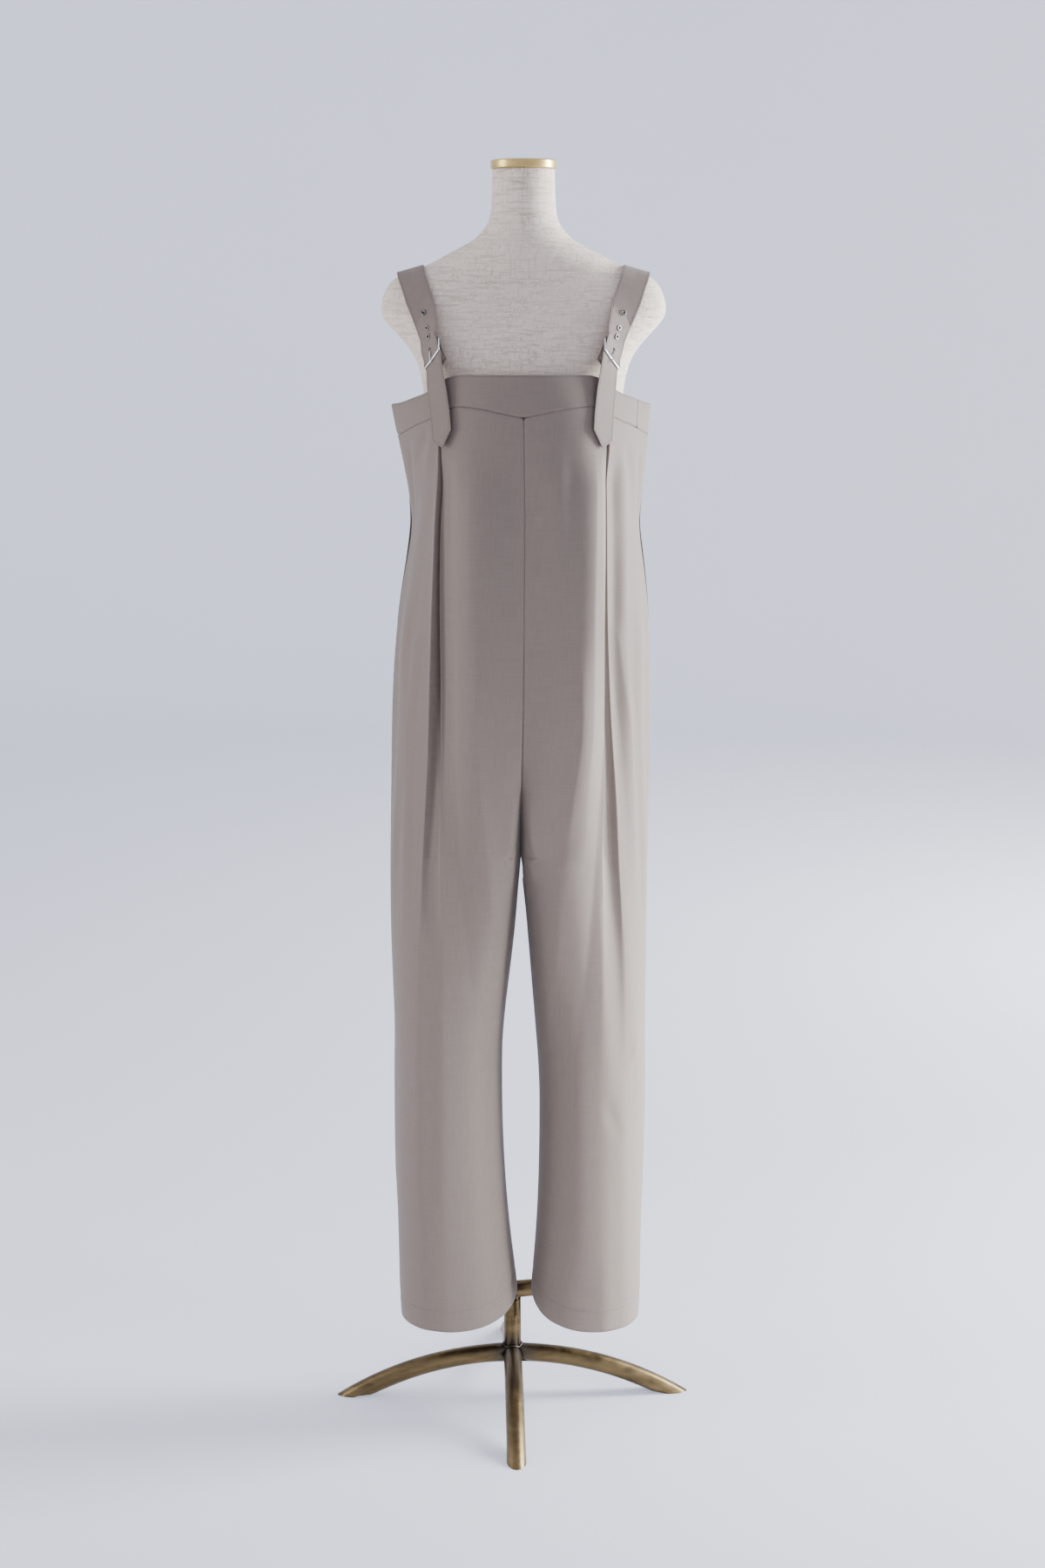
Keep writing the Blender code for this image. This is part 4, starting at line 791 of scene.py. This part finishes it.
def panel_lift(node, places):
    """How far a panel's folds, seams and hem move each of its points."""
    seams = seam_tree(node, panel_neighbours(node))
    above = places[:, 2] - np.interp(round_leg(places, node), *hem_heights(node)) - HEM_TURN
    groove = HEM_GROOVE * np.exp(-(above / HEM_GROOVE_WIDTH) ** 2)
    return fold_lift(places, node) + seam_dip(places, seams, SEAM_DEPTH) - groove


def band_lift(node, places):
    """How far a band's seams to its panels move each of its points."""
    face = node.split("_")[1]
    return seam_dip(places, seam_tree(node, [face + "_left", face + "_right"]), BAND_SEAM_DEPTH)


def lay_cloth(nodes, settings, lift_of):
    """Refine pieces of cloth and move their points in or out by their lift."""
    material = kept("suiting_cloth", cloth_material, settings)
    for node in nodes:
        piece = refined(node, node + "_cloth", settings.refinement, CLOTH_CREASES)
        places = points_of(piece.data)
        add_grain(piece, cloth_grain(places))
        set_points(piece.data, places + outward(places) * lift_of(node, places)[:, None])
        finish_piece(piece, material, [node])


class SALOPETTE_OT_panels(bpy.types.Operator):
    """Refine the four trouser panels, with their creases, seams and hem turns"""
    bl_idname = "salopette.panels"
    bl_label = "Trouser panels"

    def execute(self, context):
        lay_cloth(PANELS, context.scene.salopette_cloth, panel_lift)
        return {"FINISHED"}


class SALOPETTE_OT_waistband(bpy.types.Operator):
    """Refine the front and back waistband"""
    bl_idname = "salopette.waistband"
    bl_label = "Waistband"

    def execute(self, context):
        lay_cloth(BANDS, context.scene.salopette_cloth, band_lift)
        return {"FINISHED"}


class SALOPETTE_OT_side_openings(bpy.types.Operator):
    """Refine the pocket facings and the side zip's tape"""
    bl_idname = "salopette.side_openings"
    bl_label = "Pockets and side zip"

    def execute(self, context):
        material = kept("facing_cloth", facing_material, context.scene.salopette_cloth)
        for node in ("pocket_left", "pocket_right", "side_zip"):
            strip = refined(node, node + "_facing", 2, FACING_CREASES)
            finish_piece(strip, material, [node])
        return {"FINISHED"}


class SALOPETTE_OT_straps(bpy.types.Operator):
    """Refine the shoulder straps and the loops of cloth that hold the buckles"""
    bl_idname = "salopette.straps"
    bl_label = "Straps and tabs"

    def execute(self, context):
        material = kept("suiting_cloth", cloth_material, context.scene.salopette_cloth)
        for node in STRAPS:
            strap = to_object(quad_copy(node), node + "_cloth")
            soften(strap, STRAP_EDGE, 2, 50)
            add_grain(strap, cloth_grain(points_of(strap.data)))
            finish_piece(strap, material, [node], sharp=35)
        for node in TABS:
            tab = refined(node, node + "_cloth", 2, TAB_CREASES)
            add_grain(tab, cloth_grain(points_of(tab.data)))
            finish_piece(tab, material, [node])
        return {"FINISHED"}


class SALOPETTE_OT_buckles(bpy.types.Operator):
    """Refine the buckles' frames and prongs"""
    bl_idname = "salopette.buckles"
    bl_label = "Buckles"

    def execute(self, context):
        material = kept("polished_nickel", nickel_material, context.scene.salopette_hardware)
        for node in ("buckle_left", "buckle_right", "prong_left", "prong_right"):
            creases = PRONG_CREASES if node.startswith("prong") else None
            finish_piece(refined(node, node + "_nickel", 2, creases), material, [node])
        return {"FINISHED"}


class SALOPETTE_OT_eyelets(bpy.types.Operator):
    """Turn each eyelet with rolled rims, on the axis of its solid"""
    bl_idname = "salopette.eyelets"
    bl_label = "Eyelets"

    def execute(self, context):
        settings = context.scene.salopette_hardware
        material = kept("dull_nickel", eyelet_material, settings)
        rim = (settings.eyelet_radius - settings.eyelet_bore) / 2
        middle = (settings.eyelet_radius + settings.eyelet_bore) / 2
        section = Matrix.Rotation(math.pi / 2, 4, "X") @ Matrix.Diagonal((rim, rim * RIM_FLATNESS, 1, 1))
        for node in EYELETS:
            places = points_of(frame["nodes"][node].data)
            centre = places.mean(axis=0)
            axis = Vector(np.linalg.svd(places - centre)[2][2])
            heights = (places - centre) @ np.array(axis)
            half = float(heights.max() - heights.min()) / 2
            shape = bmesh.new()
            for side in (1, -1):
                lift = Matrix.Translation((middle, 0, side * (half - rim * RIM_FLATNESS)))
                bmesh.ops.create_circle(shape, segments=10, radius=1.0, matrix=lift @ section)
            turned(shape, 28)
            shape.transform(Matrix.Translation(centre) @ axis.to_track_quat("Z", "Y").to_matrix().to_4x4())
            finish_piece(to_object(shape, node + "_ring"), material, [node])
        return {"FINISHED"}


def turned(shape, steps):
    """Turn a section once round the upright axis."""
    bmesh.ops.spin(shape, geom=list(shape.verts) + list(shape.edges), cent=(0, 0, 0), axis=(0, 0, 1),
                   dvec=(0, 0, 0), angle=2 * math.pi, steps=steps, use_merge=True, use_duplicate=False)
    bmesh.ops.recalc_face_normals(shape, faces=shape.faces)


def ordered_loops(edges):
    """Chains of joined edges, each as a list of (edge, start vertex)."""
    left = set(edges)
    chains = []
    for start in edges:
        if start not in left:
            continue
        left.discard(start)
        chain = [(start, start.verts[0])]
        for forward in (True, False):
            at = chain[-1][0].other_vert(chain[-1][1]) if forward else chain[0][1]
            while True:
                found = [edge for edge in at.link_edges if edge in left]
                if not found:
                    break
                edge = found[0]
                left.discard(edge)
                if forward:
                    chain.append((edge, at))
                    at = edge.other_vert(at)
                else:
                    at = edge.other_vert(at)
                    chain.insert(0, (edge, at))
        chains.append(chain)
    return chains


def wide_face(edge):
    """The broader of an edge's two faces, which is the cloth's and not its rim's."""
    return max(edge.link_faces, key=lambda face: face.calc_area() / edge.calc_length())


def edge_path(node, inset, keep, least):
    """Lines set in from a wall's rims, as lists of (place, outward direction)."""
    shape = quad_copy(node)
    rims = []
    for edge in shape.edges:
        rim = len(edge.link_faces) == 2 and edge.calc_face_angle(0.0) >= math.radians(60)
        if rim and keep(edge, wide_face(edge)):
            rims.append(edge)
    lines = []
    for chain in ordered_loops(rims):
        if sum(edge.calc_length() for edge, _ in chain) < least:
            continue
        line = []
        for edge, start in chain:
            wide = wide_face(edge)
            end = edge.other_vert(start)
            inward = wide.normal.cross((end.co - start.co).normalized())
            if inward.dot(wide.calc_center_median() - start.co) < 0:
                inward = -inward
            for share in (0.15, 0.85):
                line.append((start.co.lerp(end.co, share) + inward * inset, wide.normal.copy()))
        lines.append(line)
    shape.free()
    return lines


def stitch_line(shape, line, surface):
    """Stitches along a line of (place, direction), laid on a surface."""
    walked = 0.0
    due = STITCH_PITCH / 2
    for (here, way), (after, _) in zip(line, line[1:]):
        step = after - here
        length = step.length
        if length < 1e-7:
            continue
        run = step / length
        while due <= walked + length:
            spot = here + run * (due - walked)
            due += STITCH_PITCH
            place, normal, _, away = surface.find_nearest(spot)
            if place is None or away > STITCH_REACH:
                continue
            if normal.dot(way) < 0:
                normal = -normal
            side = normal.cross(run).normalized()
            along = side.cross(normal)
            turn = Matrix((along, side, normal)).transposed().to_4x4()
            size = Matrix.Diagonal((STITCH_LENGTH / 2, STITCH_WIDTH / 2, STITCH_WIDTH / 2, 1))
            spot = Matrix.Translation(place + normal * STITCH_RISE)
            bmesh.ops.create_icosphere(shape, subdivisions=1, radius=1.0, matrix=spot @ turn @ size)
        walked += length


def surface_of(item):
    graph = bpy.context.evaluated_depsgraph_get()
    return BVHTree.FromObject(item, graph)


class SALOPETTE_OT_stitching(bpy.types.Operator):
    """Sew the strap edges, the band's top edge and the hems"""
    bl_idname = "salopette.stitching"
    bl_label = "Stitching"

    def execute(self, context):
        material = kept("sewing_thread", thread_material, context.scene.salopette_cloth)
        lines = [(node, "_stitches", STRAP_STITCH_IN, any_edge, STRAP_LEAST) for node in STRAPS]
        lines += [(node, "_stitches", BAND_STITCH_IN, top_outer_edge, BAND_LEAST) for node in BANDS]
        lines += [(node, "_hem_stitches", HEM_TURN, hem_outer_edge, HEM_LEAST) for node in PANELS]
        for node, suffix, inset, keep, least in lines:
            shape = bmesh.new()
            surface = surface_of(bpy.data.objects[node + "_cloth"])
            for line in edge_path(node, inset, keep, least):
                stitch_line(shape, line, surface)
            finish_piece(to_object(shape, node + suffix), material)
        return {"FINISHED"}


def any_edge(edge, wide):
    return True


def faces_out(edge, wide, x, y):
    """Whether the wide face at an edge looks away from an upright line at x and y."""
    middle = (edge.verts[0].co + edge.verts[1].co) / 2
    return wide.normal.dot(Vector((middle.x - x, middle.y - y, 0))) > 0


def rim_slope(edge, wide):
    """How much the rim beside an edge faces up, or down where it is negative."""
    narrow = [face for face in edge.link_faces if face != wide]
    return narrow[0].normal.z if narrow else 0.0


def top_outer_edge(edge, wide):
    """Whether an edge runs along the band's top on its outer face."""
    return rim_slope(edge, wide) > 0.7 and faces_out(edge, wide, BODY["x"], BODY["y"])


def hem_outer_edge(edge, wide):
    """Whether an edge runs along a leg's hem on its outer face."""
    middle = (edge.verts[0].co + edge.verts[1].co) / 2
    leg = LEGS["left"] if middle.x < BODY["x"] else LEGS["right"]
    low = middle.z < HEM_BELOW and rim_slope(edge, wide) < -0.5
    return low and faces_out(edge, wide, leg, LEGS["y"])


class SALOPETTE_OT_form(bpy.types.Operator):
    """Refine the linen form, with its seams, and its neck cap"""
    bl_idname = "salopette.form"
    bl_label = "Dress form"

    def execute(self, context):
        settings = context.scene.salopette_form
        form = refined("form_torso", "form_linen", 3, HARD_CREASES)
        places = points_of(form.data)
        middle = np.abs(places[:, 0] - FORM_MIDDLE)
        flat = np.abs(places[:, 2] - NECK_SEAM)
        dip = FORM_SEAM_DEPTH * np.maximum(np.exp(-(middle / FORM_SEAM_WIDTH) ** 2),
                                           np.exp(-(flat / FORM_SEAM_WIDTH) ** 2))
        normals = np.zeros(len(places) * 3)
        form.data.vertices.foreach_get("normal", normals)
        set_points(form.data, places - normals.reshape(-1, 3) * dip[:, None])
        finish_piece(form, kept("form_linen", linen_material, settings), ["form_torso"], sharp=70)
        cap = to_object(quad_copy("neck_cap"), "neck_cap_brass")
        soften(cap, CAP_EDGE, 3, 30)
        finish_piece(cap, kept("spun_brass", cap_material, settings), ["neck_cap"], sharp=35)
        return {"FINISHED"}


class SALOPETTE_OT_stand(bpy.types.Operator):
    """Refine the stand's tubes and add its weld beads"""
    bl_idname = "salopette.stand"
    bl_label = "Stand"

    def execute(self, context):
        material = kept("aged_brass", stand_material, context.scene.salopette_stand)
        for node in ("leg_right", "leg_back", "leg_left", "leg_front", "post", "crank_arm", "pole",
                     "pole_flange"):
            tube = refined(node, node + "_tube", 1, HARD_CREASES)
            finish_piece(tube, material, [node], sharp=40)
        finish_piece(to_object(weld_bead(), "hub_weld"), material)
        return {"FINISHED"}


def weld_bead():
    """A lumpy bead where the post meets the four legs."""
    shape = bmesh.new()
    reach = POST_TUBE + BEAD * 0.4
    section = Matrix.Translation((reach, 0, 0)) @ Matrix.Rotation(math.pi / 2, 4, "X")
    bmesh.ops.create_circle(shape, segments=10, radius=BEAD, matrix=section)
    turned(shape, 96)
    for vertex in shape.verts:
        turn = math.atan2(vertex.co.y, vertex.co.x) - math.radians(STAND_TURN)
        off = (turn + math.pi / 4) % (math.pi / 2) - math.pi / 4
        across = POST_TUBE * math.sin(off)
        saddle = HUB + math.sqrt(LEG_TUBE ** 2 - across ** 2)
        lump = 1 + 0.16 * math.sin(BEAD_LUMPS * turn) + 0.10 * math.sin(5 * turn + 1.3)
        vertex.co.z = saddle + vertex.co.z * lump
    bmesh.ops.recalc_face_normals(shape, faces=shape.faces)
    return shape


class SALOPETTE_OT_stage(bpy.types.Operator):
    """Set the camera, the lights and the seamless backdrop"""
    bl_idname = "salopette.stage"
    bl_label = "Studio"

    def execute(self, context):
        settings = context.scene.salopette_stage
        backdrop(settings)
        for name, place, target, size in LIGHTS:
            tint = (1.0, 1.0, 1.0) if name == "left" else settings.right_tint
            lamp = softbox("light_" + name, place, target, size, getattr(settings, name + "_power"), tint)
            if name == "low":
                lamp.data.spread = LOW_SPREAD
        camera = link("camera", bpy.data.cameras.new("camera"))
        camera.data.lens = settings.lens
        camera.data.sensor_width = 36
        camera.location = (settings.camera_side, -settings.camera_distance, settings.camera_height)
        camera.rotation_euler = (math.pi / 2 - settings.camera_tilt, 0, 0)
        context.scene.camera = camera
        return {"FINISHED"}


def backdrop(settings):
    """A round studio: a floor that curves up into a wall and over into a ceiling."""
    shape = bmesh.new()
    centre = shape.verts.new((0, 0, 0))
    rim = shape.verts.new((STUDIO_RADIUS, 0, 0))
    shape.edges.new((centre, rim))
    swept = bmesh.ops.spin(shape, geom=[rim], cent=(STUDIO_RADIUS, 0, STUDIO_CURVE), axis=(0, -1, 0),
                           dvec=(0, 0, 0), angle=math.pi / 2, steps=12, use_merge=False,
                           use_duplicate=False)
    last = [part for part in swept["geom_last"] if isinstance(part, bmesh.types.BMVert)][0]
    top = shape.verts.new(last.co + Vector((0, 0, STUDIO_HEIGHT - last.co.z)))
    shape.edges.new((last, top))
    shape.edges.new((top, shape.verts.new((0, 0, STUDIO_HEIGHT))))
    turned(shape, 64)
    bmesh.ops.remove_doubles(shape, verts=shape.verts, dist=0.0001)
    bmesh.ops.recalc_face_normals(shape, faces=shape.faces)
    floor_piece = to_object(shape, "studio_backdrop")
    floor_piece.data.materials.append(kept("painted_backdrop", backdrop_material, settings))
    floor_piece.data.shade_smooth()


def softbox(name, place, target, size, power, tint):
    light = bpy.data.lights.new(name, "AREA")
    light.shape = "RECTANGLE"
    light.size, light.size_y = size
    light.energy = power
    light.color = tint
    lamp = link(name, light)
    lamp.location = place
    lamp.rotation_euler = (Vector(target) - Vector(place)).to_track_quat("-Z", "Y").to_euler()
    return lamp


OPERATORS = (
    SALOPETTE_OT_stage,
    SALOPETTE_OT_panels,
    SALOPETTE_OT_waistband,
    SALOPETTE_OT_side_openings,
    SALOPETTE_OT_straps,
    SALOPETTE_OT_buckles,
    SALOPETTE_OT_eyelets,
    SALOPETTE_OT_stitching,
    SALOPETTE_OT_form,
    SALOPETTE_OT_stand,
)


class SALOPETTE_PT_sidebar(bpy.types.Panel):
    """Lists the pieces' operators and their sizes and colours"""
    bl_idname = "SALOPETTE_PT_sidebar"
    bl_label = "Salopette"
    bl_space_type = "VIEW_3D"
    bl_region_type = "UI"
    bl_category = "Salopette"

    def draw(self, context):
        for name, group in SETTINGS.items():
            box = self.layout.box()
            box.label(text=name.replace("_", " ").title())
            for setting in group.__annotations__:
                box.prop(getattr(context.scene, name), setting)
        for operator in OPERATORS:
            self.layout.operator(operator.bl_idname)


def register():
    for name, group in SETTINGS.items():
        bpy.utils.register_class(group)
        setattr(bpy.types.Scene, name, PointerProperty(type=group))
    for operator in OPERATORS:
        bpy.utils.register_class(operator)
    bpy.utils.register_class(SALOPETTE_PT_sidebar)


def unregister():
    bpy.utils.unregister_class(SALOPETTE_PT_sidebar)
    for operator in reversed(OPERATORS):
        bpy.utils.unregister_class(operator)
    for name, group in SETTINGS.items():
        delattr(bpy.types.Scene, name)
        bpy.utils.unregister_class(group)


def main():
    for item in list(bpy.data.objects):
        if item.type in ("LIGHT", "CAMERA"):
            bpy.data.objects.remove(item, do_unlink=True)
    register()
    for operator in OPERATORS:
        family, action = operator.bl_idname.split(".")
        getattr(getattr(bpy.ops, family), action)()


if __name__ == "__main__":
    main()
